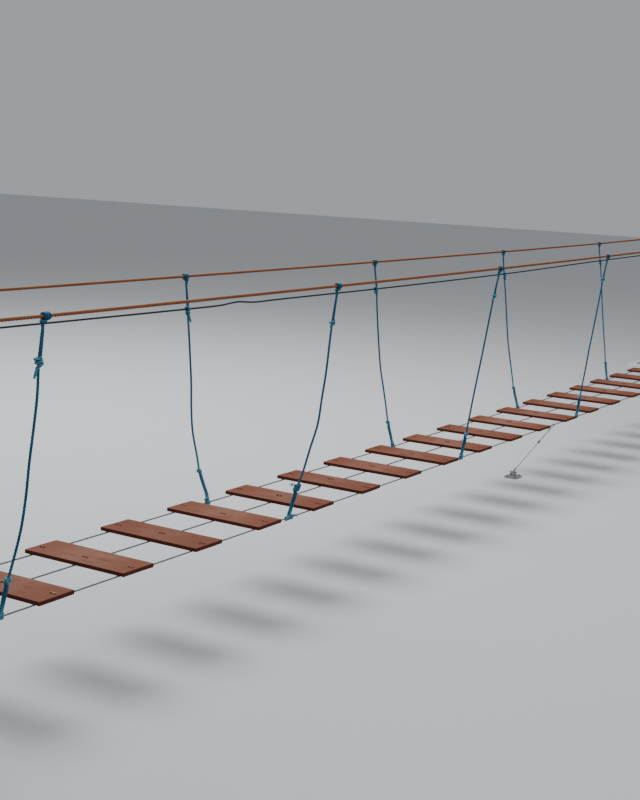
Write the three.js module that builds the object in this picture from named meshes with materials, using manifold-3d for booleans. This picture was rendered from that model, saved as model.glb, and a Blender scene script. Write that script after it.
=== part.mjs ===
// Rope suspension footbridge of six bays: a plank deck clamped on three wire cables, two hand ropes,
// a wire safety line on the left side, hitched rope hangers, a wind stay, and a welded steel anchor
// frame at each end.
// Millimetres. +X runs along the bridge from the start frame, +Y to the left of a walker going that
// way, +Z up. The origin lies on the underside of the start frame's base plate, on the centre line.

import * as THREE from 'three';
import { mergeVertices } from 'three/addons/utils/BufferGeometryUtils.js';
import Module from 'manifold-3d';

const wasm = await Module();
wasm.setup();

// Driving dimensions
const SPAN = 12500;
const MIDDLE = SPAN / 2;
const STATION_PITCH = 2000;
const STATIONS = [-2, -1, 0, 1, 2].map((step) => MIDDLE + step * STATION_PITCH);
const STATION_REACH = 2 * STATION_PITCH;
const SEAT = 0.3;
const HITCH_SLACK = 0.7;
const RIGHT = -1;
const LEFT = 1;

// Deck
const PLANK = { count: 24, pitch: 500, length: 550, width: 200, thickness: 18 };
const DECK_HEIGHT = 110;
const DECK_SAG = 28.5;

// Ropes and wires
const WIRE_RADIUS = 4;
const DECK_CABLE_OFFSET = 240;
const HAND_ROPE_RADIUS = 7.5;
const HANGER_RADIUS = 6;
const STAY_RADIUS = 2.5;

// Heights are above the plank tops at mid span, offsets are out from the centre line. The outer
// stations give the start and end values, the post values are where the line meets its post.
const HAND_ROPES = {
  right: {
    side: RIGHT,
    offset: { start: 432, middle: 402, end: 360 },
    height: { start: 1128, middle: 1161, end: 1214 },
    postHeight: { start: 1117, end: 1251 },
  },
  left: {
    side: LEFT,
    offset: { start: 488, middle: 458, end: 416 },
    height: { start: 1102, middle: 1135, end: 1186 },
    postHeight: { start: 1091, end: 1223 },
  },
};
const SAFETY_CABLE = {
  inset: 20,
  heights: [944, 951, 966, 992, 1036],
  postHeight: { start: 936, end: 1066 },
};
// A set bend in the safety wire, as distance from mid span and rise above the straight line.
const SAFETY_CABLE_KINK = [
  { along: -1700, rise: 1 }, { along: -1610, rise: 7 }, { along: -1540, rise: 10 },
  { along: -1460, rise: 4 }, { along: -1390, rise: -1 }, { along: -1150, rise: 0 },
];

// Hangers from the start to the end of each side. Shifts are along the bridge from the station:
// of the hitch on the hand rope, of the foot, and from the hitch to where the rope leaves it.
// Bows are how far the slack rope stands out sideways from a straight line at BOW_HEIGHTS, and
// the last one at the lower knot.
const HANGERS = {
  right: [
    { topShift: -10, footShift: -26, exitShift: -11, bows: [0, 14, 22, 27, 35, 35, 22, 12] },
    { topShift: 30, footShift: -40, exitShift: -2, bows: [6, 18, 32, 43, 52, 39, 26, 14] },
    { topShift: -15, footShift: -50, exitShift: -9, bows: [-6, -5, -3, -2, -2, -1, 1, 3] },
    { topShift: -50, footShift: -50, exitShift: -3, bows: [-5, -2, -2, -2, -3, -1, -1, 0] },
    { topShift: 0, footShift: -40, exitShift: -7, bows: [2, 6, 10, 12, 14, 13, 9, 6] },
  ],
  left: [
    { topShift: 5, footShift: -35, exitShift: -8, bows: [9, 14, 19, 24, 30, 31, 25, 22] },
    { topShift: 18, footShift: -40, exitShift: -11, bows: [15, 21, 29, 38, 53, 61, 49, 44] },
    { topShift: -20, footShift: -43, exitShift: -10, bows: [9, 19, 29, 34, 36, 28, 22, 21] },
    { topShift: -45, footShift: -21, exitShift: -11, bows: [14, 16, 21, 27, 31, 28, 23, 21] },
    { topShift: 0, footShift: -5, exitShift: -8, bows: [3, 1, 4, 6, 6, 6, 5, 6] },
  ],
};
// Heights as shares of the way from the foot up to the hand rope
const BOW_HEIGHTS = [0.86, 0.75, 0.64, 0.53, 0.42, 0.31, 0.2];
const STRAND_STEPS = 14;
const UPPER_KNOT = { drop: 165, radius: 15, height: 34 };
const LOWER_KNOT = { heightAboveDeck: 134, radius: 13, height: 26 };
const KNOT_ENDS = { radiusShare: 0.7, straightShare: 0.45 };
// The turns on the hand rope are pulled flat.
const HITCHES = {
  handRope: { length: 34, turns: 3, radius: 4.2 },
  safetyCable: { length: 26, turns: 2, radius: HANGER_RADIUS },
  deckCable: { length: 26, turns: 2, radius: HANGER_RADIUS },
  stay: { length: 14, turns: 2, radius: STAY_RADIUS },
};
const TURN_VALLEY = 1.3;

// Wind stay, tied to the right deck cable at mid gap and bolted down under the deck
const STAY = { x: MIDDLE + 1500, doubledShare: 0.36 };
const STAY_CLAMP = { radius: 9, height: 22 };
const STAY_SOCKET = { radius: 5, length: 26, clearance: 4 };
const STAY_ANCHOR = { y: 40, underside: -340, length: 120, width: 90, thickness: 10 };
const STAY_LUG = { height: 34, width: 50 };

// End frames
const BASE_PLATE = { length: 300, width: 1300, thickness: 12 };
const POST = { radius: 38, offset: 460, top: 1430, sides: 24, capRadius: 42, capThickness: 8 };
const GUSSET = { foot: 70, height: 110, thickness: 8, blunt: 12 };
const FOOT_BURIED = 4;
const WRAP_SIDES = 12;
const WIRE_WRAP_SIDES = 24;
const HITCH_SIDES = 10;
const KNOT_SIDES = 8;
const ROPE_SIDES = 8;
const STRAND_SIDES = 6;
const ROPE_WRAP = { turns: 2.25, pitch: 16.2 };
const WIRE_TAIL = { meets: 255, end: 385, spacing: 8.6 };
const WIRE_TURN_STEPS = 14;

// Parts keep a small clearance where a faceted ring or wrap goes round a rope, wire or tube.
const ringRadius = (coreRadius, strandRadius, sides) =>
  (coreRadius + SEAT + strandRadius) / Math.cos(Math.PI / sides);

const along = (x) => (x - MIDDLE) / MIDDLE;
const plankTop = (x) => DECK_HEIGHT + DECK_SAG * along(x) ** 2;
const deckSlope = (x) => (2 * DECK_SAG * along(x)) / MIDDLE;
const deckCableHeight = (x) => plankTop(x) - PLANK.thickness - SEAT - WIRE_RADIUS;

// Parabola through three evenly spaced values, for t from -1 to 1
const throughThree = ({ start, middle, end }, t) =>
  middle + ((end - start) / 2) * t + ((start + end) / 2 - middle) * t * t;

const materials = {
  plank: { color: 0x965a42, roughness: 0.85, metalness: 0 },
  wire: { color: 0x8b9294, roughness: 0.45, metalness: 0.8 },
  handRope: { color: 0xb45a2c, roughness: 0.8, metalness: 0 },
  hangerRope: { color: 0x1f6288, roughness: 0.75, metalness: 0 },
  frame: { color: 0x9aa0a2, roughness: 0.5, metalness: 0.7 },
};

// A path whose steps fall on the given points, each cross-section halving the bend there
class Route extends THREE.Curve {
  constructor(points) {
    super();
    this.points = points;
  }

  getUtoTmapping(u) {
    return u;
  }

  getPoint(t, target = new THREE.Vector3()) {
    const place = t * (this.points.length - 1);
    const index = Math.min(Math.floor(place), this.points.length - 2);
    return target.copy(this.points[index]).lerp(this.points[index + 1], place - index);
  }

  getTangent(t, target = new THREE.Vector3()) {
    const last = this.points.length - 1;
    const index = Math.round(t * last);
    const here = this.points[index];
    const before = this.points[Math.max(index - 1, 0)];
    const after = this.points[Math.min(index + 1, last)];
    const arriving = here.clone().sub(before).normalize();
    const leaving = after.clone().sub(here).normalize();
    return target.copy(arriving).add(leaving).normalize();
  }
}

const vec = (x, y, z) => new THREE.Vector3(x, y, z);

function polygon(radius, sides) {
  const shape = new THREE.Shape();
  for (let side = 0; side < sides; side += 1) {
    const angle = (2 * Math.PI * side) / sides;
    const x = radius * Math.cos(angle);
    const y = radius * Math.sin(angle);
    if (side === 0) shape.moveTo(x, y);
    else shape.lineTo(x, y);
  }
  return shape;
}

function sweep(points, radius, sides) {
  const settings = { steps: points.length - 1, bevelEnabled: false, extrudePath: new Route(points) };
  return new THREE.ExtrudeGeometry(polygon(radius, sides), settings);
}

function smoothPoints(points, divisions) {
  return new THREE.CatmullRomCurve3(points, false, 'centripetal').getSpacedPoints(divisions);
}

function toSolid(geometry) {
  const bare = geometry.clone();
  bare.deleteAttribute('normal');
  bare.deleteAttribute('uv');
  const merged = mergeVertices(bare, 1e-3);
  const mesh = new wasm.Mesh({
    numProp: 3,
    vertProperties: new Float32Array(merged.attributes.position.array),
    triVerts: new Uint32Array(merged.index.array),
  });
  return new wasm.Manifold(mesh);
}

function join(geometries) {
  const whole = geometries.map(toSolid).reduce((sum, solid) => sum.add(solid));
  const mesh = whole.getMesh();
  const geometry = new THREE.BufferGeometry();
  geometry.setAttribute('position', new THREE.BufferAttribute(mesh.vertProperties, mesh.numProp));
  geometry.setIndex(new THREE.BufferAttribute(mesh.triVerts, 1));
  geometry.computeVertexNormals();
  return geometry;
}

// Turns a shape made round the Y axis so that it runs along a direction through a point.
function stand(geometry, point, direction) {
  const turn = new THREE.Quaternion().setFromUnitVectors(vec(0, 1, 0), direction.clone().normalize());
  return geometry.applyQuaternion(turn).translate(point.x, point.y, point.z);
}

const hitchInner = (coreRadius) => (coreRadius + HITCH_SLACK) / Math.cos(Math.PI / HITCH_SIDES);

// Rope turns laid side by side round a core: a sleeve whose outside swells once for each turn
function hitch(point, direction, coreRadius, { length, turns, radius }) {
  const inner = hitchInner(coreRadius);
  const crest = inner + 2 * radius;
  const valley = inner + TURN_VALLEY * radius;
  const turnLength = length / turns;
  const profile = [new THREE.Vector2(inner, -length / 2), new THREE.Vector2(valley, -length / 2)];
  for (let turn = 0; turn < turns; turn += 1) {
    profile.push(new THREE.Vector2(crest, -length / 2 + (turn + 0.5) * turnLength));
    profile.push(new THREE.Vector2(valley, -length / 2 + (turn + 1) * turnLength));
  }
  profile.push(new THREE.Vector2(inner, length / 2));
  profile.push(profile[0].clone());
  return stand(new THREE.LatheGeometry(profile, HITCH_SIDES), point, direction);
}

// A knot as a rounded barrel round the rope that carries it
function knot(point, direction, { radius, height }) {
  const half = height / 2;
  const endRadius = radius * KNOT_ENDS.radiusShare;
  const straight = half * KNOT_ENDS.straightShare;
  const profile = [
    new THREE.Vector2(0, -half), new THREE.Vector2(endRadius, -half),
    new THREE.Vector2(radius, -straight), new THREE.Vector2(radius, straight),
    new THREE.Vector2(endRadius, half), new THREE.Vector2(0, half),
  ];
  return stand(new THREE.LatheGeometry(profile, KNOT_SIDES), point, direction);
}

// The posts and the beam are the same tube, so a wire turns round either at one radius.
const WIRE_WRAP = ringRadius(POST.radius, WIRE_RADIUS, WIRE_WRAP_SIDES);
const POST_ROPE_WRAP = ringRadius(POST.radius, HAND_ROPE_RADIUS, WRAP_SIDES);
const BEAM_HEIGHT = deckCableHeight(0) - WIRE_WRAP;
const PLANK_STEPS = Array.from({ length: SPAN / PLANK.pitch + 1 }, (_, step) => step * PLANK.pitch);

// The points of a wire that turns round a tube at the start of the bridge and lies back along
// itself. bend gives a point on the turn, run a point on the way out, and rise is how far the place
// where the tail meets the run lies from the tube's axis.
function wireEnd({ bend, run, sideways, rise }) {
  const { meets, end, spacing } = WIRE_TAIL;
  const leaving = Math.acos(WIRE_WRAP / Math.hypot(meets, rise));
  const turned = 2 * Math.PI - Math.atan2(meets, rise) - leaving;
  const points = [end, (meets + end) / 2, meets].map((x) => run(x).addScaledVector(sideways, spacing));
  for (let step = WIRE_TURN_STEPS; step >= 1; step -= 1) {
    points.push(bend((turned * step) / WIRE_TURN_STEPS));
  }
  return points;
}

const mirrorEnd = (point) => vec(SPAN - point.x, point.y, point.z);

function deckCable(y) {
  const run = (x) => vec(x, y, deckCableHeight(x));
  const bend = (angle) => vec(
    -WIRE_WRAP * Math.sin(angle), y, BEAM_HEIGHT + WIRE_WRAP * Math.cos(angle),
  );
  const rise = deckCableHeight(WIRE_TAIL.meets) - WIRE_TAIL.spacing - BEAM_HEIGHT;
  const start = wireEnd({ bend, run, sideways: vec(0, 0, -1), rise });
  const end = start.map(mirrorEnd).reverse();
  return sweep([...start, ...PLANK_STEPS.map(run), ...end], WIRE_RADIUS, ROPE_SIDES);
}

function handRopePoint(rope, x) {
  const t = (x - MIDDLE) / STATION_REACH;
  const postY = POST.offset - POST_ROPE_WRAP;
  const first = STATIONS[0];
  const last = STATIONS[STATIONS.length - 1];
  let offset = throughThree(rope.offset, t);
  let height = throughThree(rope.height, t);
  if (x < first) {
    offset = THREE.MathUtils.lerp(postY, rope.offset.start, x / first);
    height = THREE.MathUtils.lerp(rope.postHeight.start, rope.height.start, x / first);
  } else if (x > last) {
    const share = (SPAN - x) / (SPAN - last);
    offset = THREE.MathUtils.lerp(postY, rope.offset.end, share);
    height = THREE.MathUtils.lerp(rope.postHeight.end, rope.height.end, share);
  }
  return vec(x, rope.side * offset, DECK_HEIGHT + height);
}

// Turns of the hand rope round its post, from the free end below up to where the run leaves
function postTurns(rope, height) {
  const points = [];
  const steps = Math.round(ROPE_WRAP.turns * WRAP_SIDES);
  for (let step = steps; step >= 1; step -= 1) {
    const turned = step / WRAP_SIDES;
    const angle = 2 * Math.PI * turned;
    points.push(vec(
      -POST_ROPE_WRAP * Math.sin(angle),
      rope.side * (POST.offset - POST_ROPE_WRAP * Math.cos(angle)),
      DECK_HEIGHT + height - ROPE_WRAP.pitch * turned,
    ));
  }
  return points;
}

function handRope(rope) {
  const places = [...PLANK_STEPS, ...STATIONS].sort((a, b) => a - b);
  const run = places.map((x) => handRopePoint(rope, x));
  const start = postTurns(rope, rope.postHeight.start);
  const end = postTurns(rope, rope.postHeight.end).map(mirrorEnd).reverse();
  return sweep([...start, ...run, ...end], HAND_ROPE_RADIUS, ROPE_SIDES);
}

// The wire hangs straight from hanger to hanger, inside the left hand rope, and runs to its post.
const WIRE_STOPS = [0, ...STATIONS, SPAN];
const WIRE_HEIGHTS = [SAFETY_CABLE.postHeight.start, ...SAFETY_CABLE.heights, SAFETY_CABLE.postHeight.end];

function safetyCableSide(stop) {
  if (stop === 0 || stop === SPAN) return POST.offset - WIRE_WRAP;
  return handRopePoint(HAND_ROPES.left, stop).y - SAFETY_CABLE.inset;
}

function safetyCablePoint(x) {
  const bay = Math.min(WIRE_STOPS.findLastIndex((stop) => stop <= x), WIRE_STOPS.length - 2);
  const [from, to] = [WIRE_STOPS[bay], WIRE_STOPS[bay + 1]];
  const share = (x - from) / (to - from);
  return vec(
    x,
    THREE.MathUtils.lerp(safetyCableSide(from), safetyCableSide(to), share),
    DECK_HEIGHT + THREE.MathUtils.lerp(WIRE_HEIGHTS[bay], WIRE_HEIGHTS[bay + 1], share),
  );
}

function safetyCable() {
  const bend = (postHeight) => (angle) => vec(
    -WIRE_WRAP * Math.sin(angle),
    POST.offset - WIRE_WRAP * Math.cos(angle),
    DECK_HEIGHT + postHeight,
  );
  const endOf = (run, postHeight) => wireEnd({
    bend: bend(postHeight),
    run,
    sideways: vec(0, 1, 0),
    rise: POST.offset - run(WIRE_TAIL.meets).y - WIRE_TAIL.spacing,
  });
  const start = endOf(safetyCablePoint, SAFETY_CABLE.postHeight.start);
  const fromEnd = (x) => mirrorEnd(safetyCablePoint(SPAN - x));
  const end = endOf(fromEnd, SAFETY_CABLE.postHeight.end).map(mirrorEnd).reverse();
  const kink = SAFETY_CABLE_KINK.map(({ along: reach, rise }) =>
    safetyCablePoint(MIDDLE + reach).add(vec(0, 0, rise)));
  const run = [...WIRE_STOPS.map(safetyCablePoint), ...kink].sort((a, b) => a.x - b.x);
  return sweep([...start, ...run, ...end], WIRE_RADIUS, ROPE_SIDES);
}

function hanger(rope, station, shape) {
  const top = handRopePoint(rope, station + shape.topShift);
  const footX = station + shape.footShift;
  const foot = vec(footX, rope.side * DECK_CABLE_OFFSET, deckCableHeight(footX));
  const drop = top.z - foot.z;
  const bowed = (height, bow) => top.clone()
    .lerp(foot, (top.z - height) / drop)
    .add(vec(0, rope.side * bow, 0));

  const slack = BOW_HEIGHTS.map((share, index) => bowed(foot.z + drop * share, shape.bows[index]));
  const upperKnot = bowed(top.z - UPPER_KNOT.drop, shape.bows[0]);
  const lowerKnot = bowed(plankTop(station) + LOWER_KNOT.heightAboveDeck, shape.bows.at(-1));
  const slope = slack[1].clone().sub(upperKnot).normalize();
  const ropeTangent = handRopePoint(rope, top.x + 1).sub(handRopePoint(rope, top.x - 1));
  const cableTangent = vec(1, 0, deckSlope(footX));

  const topWall = hitchInner(HAND_ROPE_RADIUS) + HITCHES.handRope.radius;
  const footWall = hitchInner(WIRE_RADIUS) + HITCHES.deckCable.radius;
  const strandTop = top.clone().add(vec(shape.exitShift, 0, -topWall));
  const strandFoot = foot.clone().add(vec(0, 0, footWall));

  const pieces = [
    hitch(top, ropeTangent, HAND_ROPE_RADIUS, HITCHES.handRope),
    hitch(foot, cableTangent, WIRE_RADIUS, HITCHES.deckCable),
    knot(lowerKnot, slack.at(-1).clone().sub(lowerKnot), LOWER_KNOT),
  ];
  let below = upperKnot;
  if (rope.side === LEFT) {
    // The wire runs through the upper knot: the rope stops in the wall above it and below it.
    const wire = safetyCablePoint(upperKnot.x);
    const wireTangent = safetyCablePoint(wire.x + 1).sub(safetyCablePoint(wire.x - 1));
    const above = wire.clone().add(vec(0, 0, footWall));
    below = wire.clone().sub(vec(0, 0, footWall));
    const barrel = wire.clone().addScaledVector(slope, footWall + UPPER_KNOT.height / 2);
    pieces.push(hitch(wire, wireTangent, WIRE_RADIUS, HITCHES.safetyCable));
    pieces.push(knot(barrel, slope, UPPER_KNOT));
    pieces.push(sweep([strandTop, above], HANGER_RADIUS, STRAND_SIDES));
  } else {
    pieces.push(knot(upperKnot, slope, UPPER_KNOT));
    pieces.push(sweep([strandTop, upperKnot], HANGER_RADIUS, STRAND_SIDES));
  }
  const strand = smoothPoints([below, ...slack.slice(1), lowerKnot], STRAND_STEPS);
  pieces.push(sweep(strand, HANGER_RADIUS, STRAND_SIDES));
  for (const apart of [-HANGER_RADIUS, HANGER_RADIUS]) {
    const leg = [lowerKnot, strandFoot].map((point) => point.clone().add(vec(0, apart, 0)));
    pieces.push(sweep(leg, HANGER_RADIUS, STRAND_SIDES));
  }
  return join(pieces);
}

function plank() {
  const { length, width, thickness } = PLANK;
  return new THREE.BoxGeometry(width, length, thickness);
}

function gusset(postY, direction) {
  const shape = new THREE.Shape();
  shape.moveTo(POST.radius - FOOT_BURIED, 0);
  shape.lineTo(POST.radius + GUSSET.foot, 0);
  shape.lineTo(POST.radius + GUSSET.foot, GUSSET.blunt);
  shape.lineTo(POST.radius + GUSSET.blunt, GUSSET.height);
  shape.lineTo(POST.radius - FOOT_BURIED, GUSSET.height);
  shape.closePath();
  const fin = new THREE.ExtrudeGeometry(shape, { depth: GUSSET.thickness, bevelEnabled: false });
  fin.translate(0, 0, -GUSSET.thickness / 2).rotateX(Math.PI / 2).rotateZ(direction);
  return fin.translate(0, postY, BASE_PLATE.thickness - FOOT_BURIED);
}

function tube(radius, from, to) {
  const bar = new THREE.CylinderGeometry(radius, radius, from.distanceTo(to), POST.sides);
  return stand(bar, from.clone().lerp(to, 0.5), to.clone().sub(from));
}

function anchorFrame() {
  const plate = new THREE.BoxGeometry(BASE_PLATE.length, BASE_PLATE.width, BASE_PLATE.thickness);
  const foot = BASE_PLATE.thickness - FOOT_BURIED;
  const pieces = [
    plate.translate(0, 0, BASE_PLATE.thickness / 2),
    tube(POST.radius, vec(0, -POST.offset, BEAM_HEIGHT), vec(0, POST.offset, BEAM_HEIGHT)),
  ];
  for (const side of [RIGHT, LEFT]) {
    const y = side * POST.offset;
    const capFoot = vec(0, y, POST.top - FOOT_BURIED);
    pieces.push(tube(POST.radius, vec(0, y, foot), vec(0, y, POST.top)));
    pieces.push(tube(POST.capRadius, capFoot, vec(0, y, POST.top + POST.capThickness)));
    for (const direction of [0, Math.PI, (side * Math.PI) / 2]) pieces.push(gusset(y, direction));
  }
  return join(pieces);
}

const STAY_TOP = vec(STAY.x, RIGHT * DECK_CABLE_OFFSET, deckCableHeight(STAY.x));
const LUG_TOP = STAY_ANCHOR.underside + STAY_ANCHOR.thickness + STAY_LUG.height;

function windStay() {
  const wall = ringRadius(WIRE_RADIUS, STAY_RADIUS, WRAP_SIDES);
  const lug = vec(STAY.x, STAY_ANCHOR.y, LUG_TOP + SEAT);
  const direction = lug.clone().sub(STAY_TOP).normalize();
  const top = STAY_TOP.clone().addScaledVector(direction, wall);
  const clamp = top.clone().lerp(lug, STAY.doubledShare);
  const socketFoot = lug.clone().addScaledVector(direction, -STAY_SOCKET.clearance);
  const socketTop = socketFoot.clone().addScaledVector(direction, -STAY_SOCKET.length);
  const pieces = [
    hitch(STAY_TOP, vec(1, 0, deckSlope(STAY.x)), WIRE_RADIUS, HITCHES.stay),
    knot(clamp, direction, STAY_CLAMP),
    sweep([clamp, socketTop], STAY_RADIUS, STRAND_SIDES),
    sweep([socketTop, socketFoot], STAY_SOCKET.radius, ROPE_SIDES),
  ];
  for (const shift of [-STAY_RADIUS, STAY_RADIUS]) {
    const leg = [top, clamp].map((point) => point.clone().add(vec(shift, 0, 0)));
    pieces.push(sweep(leg, STAY_RADIUS, STRAND_SIDES));
  }
  return join(pieces);
}

function stayAnchor() {
  const { y, underside, length, width, thickness } = STAY_ANCHOR;
  const plate = new THREE.BoxGeometry(length, width, thickness);
  const lugHeight = STAY_LUG.height + FOOT_BURIED;
  const lug = new THREE.BoxGeometry(thickness, STAY_LUG.width, lugHeight);
  return join([
    plate.translate(STAY.x, y, underside + thickness / 2),
    lug.translate(STAY.x, y, LUG_TOP - lugHeight / 2),
  ]);
}

const bridge = new THREE.Group();

function add(name, geometry, finish) {
  const mesh = new THREE.Mesh(geometry, new THREE.MeshStandardMaterial(materials[finish]));
  mesh.name = name;
  bridge.add(mesh);
  return mesh;
}

for (const [name, x] of [['start', 0], ['end', SPAN]]) {
  add(`${name}_anchor_frame`, anchorFrame(), 'frame').position.x = x;
}

for (let number = 1; number <= PLANK.count; number += 1) {
  const x = MIDDLE + (number - (PLANK.count + 1) / 2) * PLANK.pitch;
  const board = add(`plank_${String(number).padStart(2, '0')}`, plank(), 'plank');
  board.position.set(x, 0, plankTop(x) - PLANK.thickness / 2);
  board.rotation.y = -Math.atan(deckSlope(x));
}

add('deck_cable_right', deckCable(RIGHT * DECK_CABLE_OFFSET), 'wire');
add('deck_cable_middle', deckCable(0), 'wire');
add('deck_cable_left', deckCable(LEFT * DECK_CABLE_OFFSET), 'wire');
add('safety_cable_left', safetyCable(), 'wire');
add('wind_stay', windStay(), 'wire');
add('stay_anchor', stayAnchor(), 'frame');

for (const [name, rope] of Object.entries(HAND_ROPES)) {
  add(`hand_rope_${name}`, handRope(rope), 'handRope');
  STATIONS.forEach((station, index) => {
    const shape = HANGERS[name][index];
    add(`hanger_${name}_${index + 1}`, hanger(rope, station, shape), 'hangerRope');
  });
}

export default bridge;
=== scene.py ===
"""Looks of a rope suspension footbridge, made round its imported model, in metres.

+X runs along the bridge from the start frame, +Y to the left of a walker going that way, and +Z
up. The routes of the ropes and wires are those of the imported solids.
"""

import logging
import math
import random
from collections.abc import Callable, Sequence
from dataclasses import dataclass, field
from enum import Enum
from typing import TypeVar

import bpy
import numpy as np
from mathutils import Matrix, Vector


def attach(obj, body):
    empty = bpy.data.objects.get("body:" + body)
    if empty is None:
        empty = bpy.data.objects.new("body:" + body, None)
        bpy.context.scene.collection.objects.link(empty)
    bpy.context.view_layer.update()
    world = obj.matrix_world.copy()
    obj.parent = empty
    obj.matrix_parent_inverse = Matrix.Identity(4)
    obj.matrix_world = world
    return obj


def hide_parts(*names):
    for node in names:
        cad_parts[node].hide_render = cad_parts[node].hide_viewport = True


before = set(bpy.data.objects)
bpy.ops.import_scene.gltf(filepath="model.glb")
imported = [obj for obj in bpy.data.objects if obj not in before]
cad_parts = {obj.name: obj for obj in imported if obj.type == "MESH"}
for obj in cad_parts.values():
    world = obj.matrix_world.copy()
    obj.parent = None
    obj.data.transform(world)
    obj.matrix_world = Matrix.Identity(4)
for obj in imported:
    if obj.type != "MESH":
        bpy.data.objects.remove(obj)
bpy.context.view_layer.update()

LOG = logging.getLogger("footbridge")
BODY = "root"

Array = np.ndarray
Colour = tuple[float, float, float]
LineAt = Callable[[float], Array]
Material = bpy.types.Material
Profile = tuple[tuple[float, float], ...]
Amount = TypeVar("Amount", float, Array)


class Side(Enum):
    """The two sides of the bridge, as the sign of Y."""

    RIGHT = -1
    LEFT = 1

    @property
    def label(self) -> str:
        """The side's name as the nodes spell it."""
        return self.name.lower()


class End(Enum):
    """The two ends of the bridge, as the sign of the way from the frame onto the deck."""

    START = 1
    END = -1

    @property
    def label(self) -> str:
        """The end's name as the nodes spell it."""
        return self.name.lower()


# The bridge's own sizes


@dataclass(frozen=True)
class Bridge:
    """Driving sizes of the bridge and the routes of its ropes and wires."""

    span: float = 12.5
    station_pitch: float = 2.0
    station_count: int = 5
    plank_count: int = 24
    plank_pitch: float = 0.5
    plank_length: float = 0.55
    plank_width: float = 0.2
    plank_thickness: float = 0.018
    deck_height: float = 0.110
    deck_sag: float = 0.0285
    seat: float = 0.0003
    wire_radius: float = 0.004
    cable_offset: float = 0.240
    hand_rope_radius: float = 0.0075
    hanger_radius: float = 0.006
    post_radius: float = 0.038
    post_offset: float = 0.460
    base_thickness: float = 0.012
    reading_step: float = 0.25

    @property
    def middle(self) -> float:
        """Mid span along X."""
        return self.span / 2

    @property
    def stations(self) -> list[float]:
        """Places along X where the hangers are tied, from the start."""
        half = (self.station_count - 1) / 2
        return [self.middle + (step - half) * self.station_pitch for step in range(self.station_count)]

    @property
    def readings(self) -> Array:
        """Places along X where the line of a long rope or wire is read."""
        return np.arange(self.reading_step, self.span, self.reading_step)

    @property
    def rope_wrap(self) -> float:
        """Radius of the hand rope's own line where it turns round a post."""
        return self.post_radius + self.hand_rope_radius + self.seat

    @property
    def wire_wrap(self) -> float:
        """Radius of a wire's own line where it turns round a post or beam."""
        return self.post_radius + self.wire_radius + self.seat

    @property
    def beam_height(self) -> float:
        """Height of the axis of the cross beam that the deck cables turn round."""
        return self.cable_height(0.0) - self.wire_wrap

    def plank_top(self, x: float) -> float:
        """Height of the planks' upper face at a place along the bridge."""
        return self.deck_height + self.deck_sag * ((x - self.middle) / self.middle) ** 2

    def deck_slope(self, x: float) -> float:
        """Rise of the deck for each metre along the bridge."""
        return 2 * self.deck_sag * (x - self.middle) / self.middle**2

    def cable_height(self, x: float) -> float:
        """Height of the deck cables' axes."""
        return self.plank_top(x) - self.plank_thickness - self.seat - self.wire_radius


BRIDGE = Bridge()
DECK_CABLES = {"right": -BRIDGE.cable_offset, "middle": 0.0, "left": BRIDGE.cable_offset}


def end_place(end: End) -> float:
    """Where an end frame stands along X."""
    return 0.0 if end is End.START else BRIDGE.span


def vec(x: float, y: float, z: float) -> Array:
    """A point or direction as an array."""
    return np.array([x, y, z], float)


def unit(direction: Array) -> Array:
    """The direction at length one."""
    return direction / np.linalg.norm(direction)


def through_three(values: tuple[float, float, float], t: float) -> float:
    """A parabola through three values.

    Args:
        values: The values at -1, 0 and 1.
        t: Where to read the parabola.

    Returns:
        The parabola's value at t.
    """
    start, middle, end = values
    return middle + (end - start) / 2 * t + ((start + end) / 2 - middle) * t * t


def lerp(a: Amount, b: Amount, share: float) -> Amount:
    """A number or point part of the way from a to b."""
    return a + (b - a) * share


def way_along(line: LineAt, x: float) -> Array:
    """The direction of a line at a place along the bridge."""
    return unit(line(x + 0.01) - line(x - 0.01))


@dataclass(frozen=True)
class HandRopeLine:
    """The line of one hand rope. Heights are above the deck at mid span."""

    side: Side
    offsets: tuple[float, float, float]
    heights: tuple[float, float, float]
    post_heights: dict[End, float]

    def point(self, x: float) -> Array:
        """The rope's axis at a place along the bridge.

        Args:
            x: The place, from the start frame.

        Returns:
            The point on the axis. It runs straight from each post to the nearest hanger.
        """
        first, last = BRIDGE.stations[0], BRIDGE.stations[-1]
        at_post = BRIDGE.post_offset - BRIDGE.rope_wrap
        t = (x - BRIDGE.middle) / (last - BRIDGE.middle)
        offset = through_three(self.offsets, t)
        height = through_three(self.heights, t)
        if x < first:
            offset = lerp(at_post, self.offsets[0], x / first)
            height = lerp(self.post_heights[End.START], self.heights[0], x / first)
        elif x > last:
            share = (BRIDGE.span - x) / (BRIDGE.span - last)
            offset = lerp(at_post, self.offsets[2], share)
            height = lerp(self.post_heights[End.END], self.heights[2], share)
        return vec(x, self.side.value * offset, BRIDGE.deck_height + height)


HAND_ROPE_LINES = {
    Side.RIGHT: HandRopeLine(
        Side.RIGHT, (0.432, 0.402, 0.360), (1.128, 1.161, 1.214), {End.START: 1.117, End.END: 1.251}
    ),
    Side.LEFT: HandRopeLine(
        Side.LEFT, (0.488, 0.458, 0.416), (1.102, 1.135, 1.186), {End.START: 1.091, End.END: 1.223}
    ),
}


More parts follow.
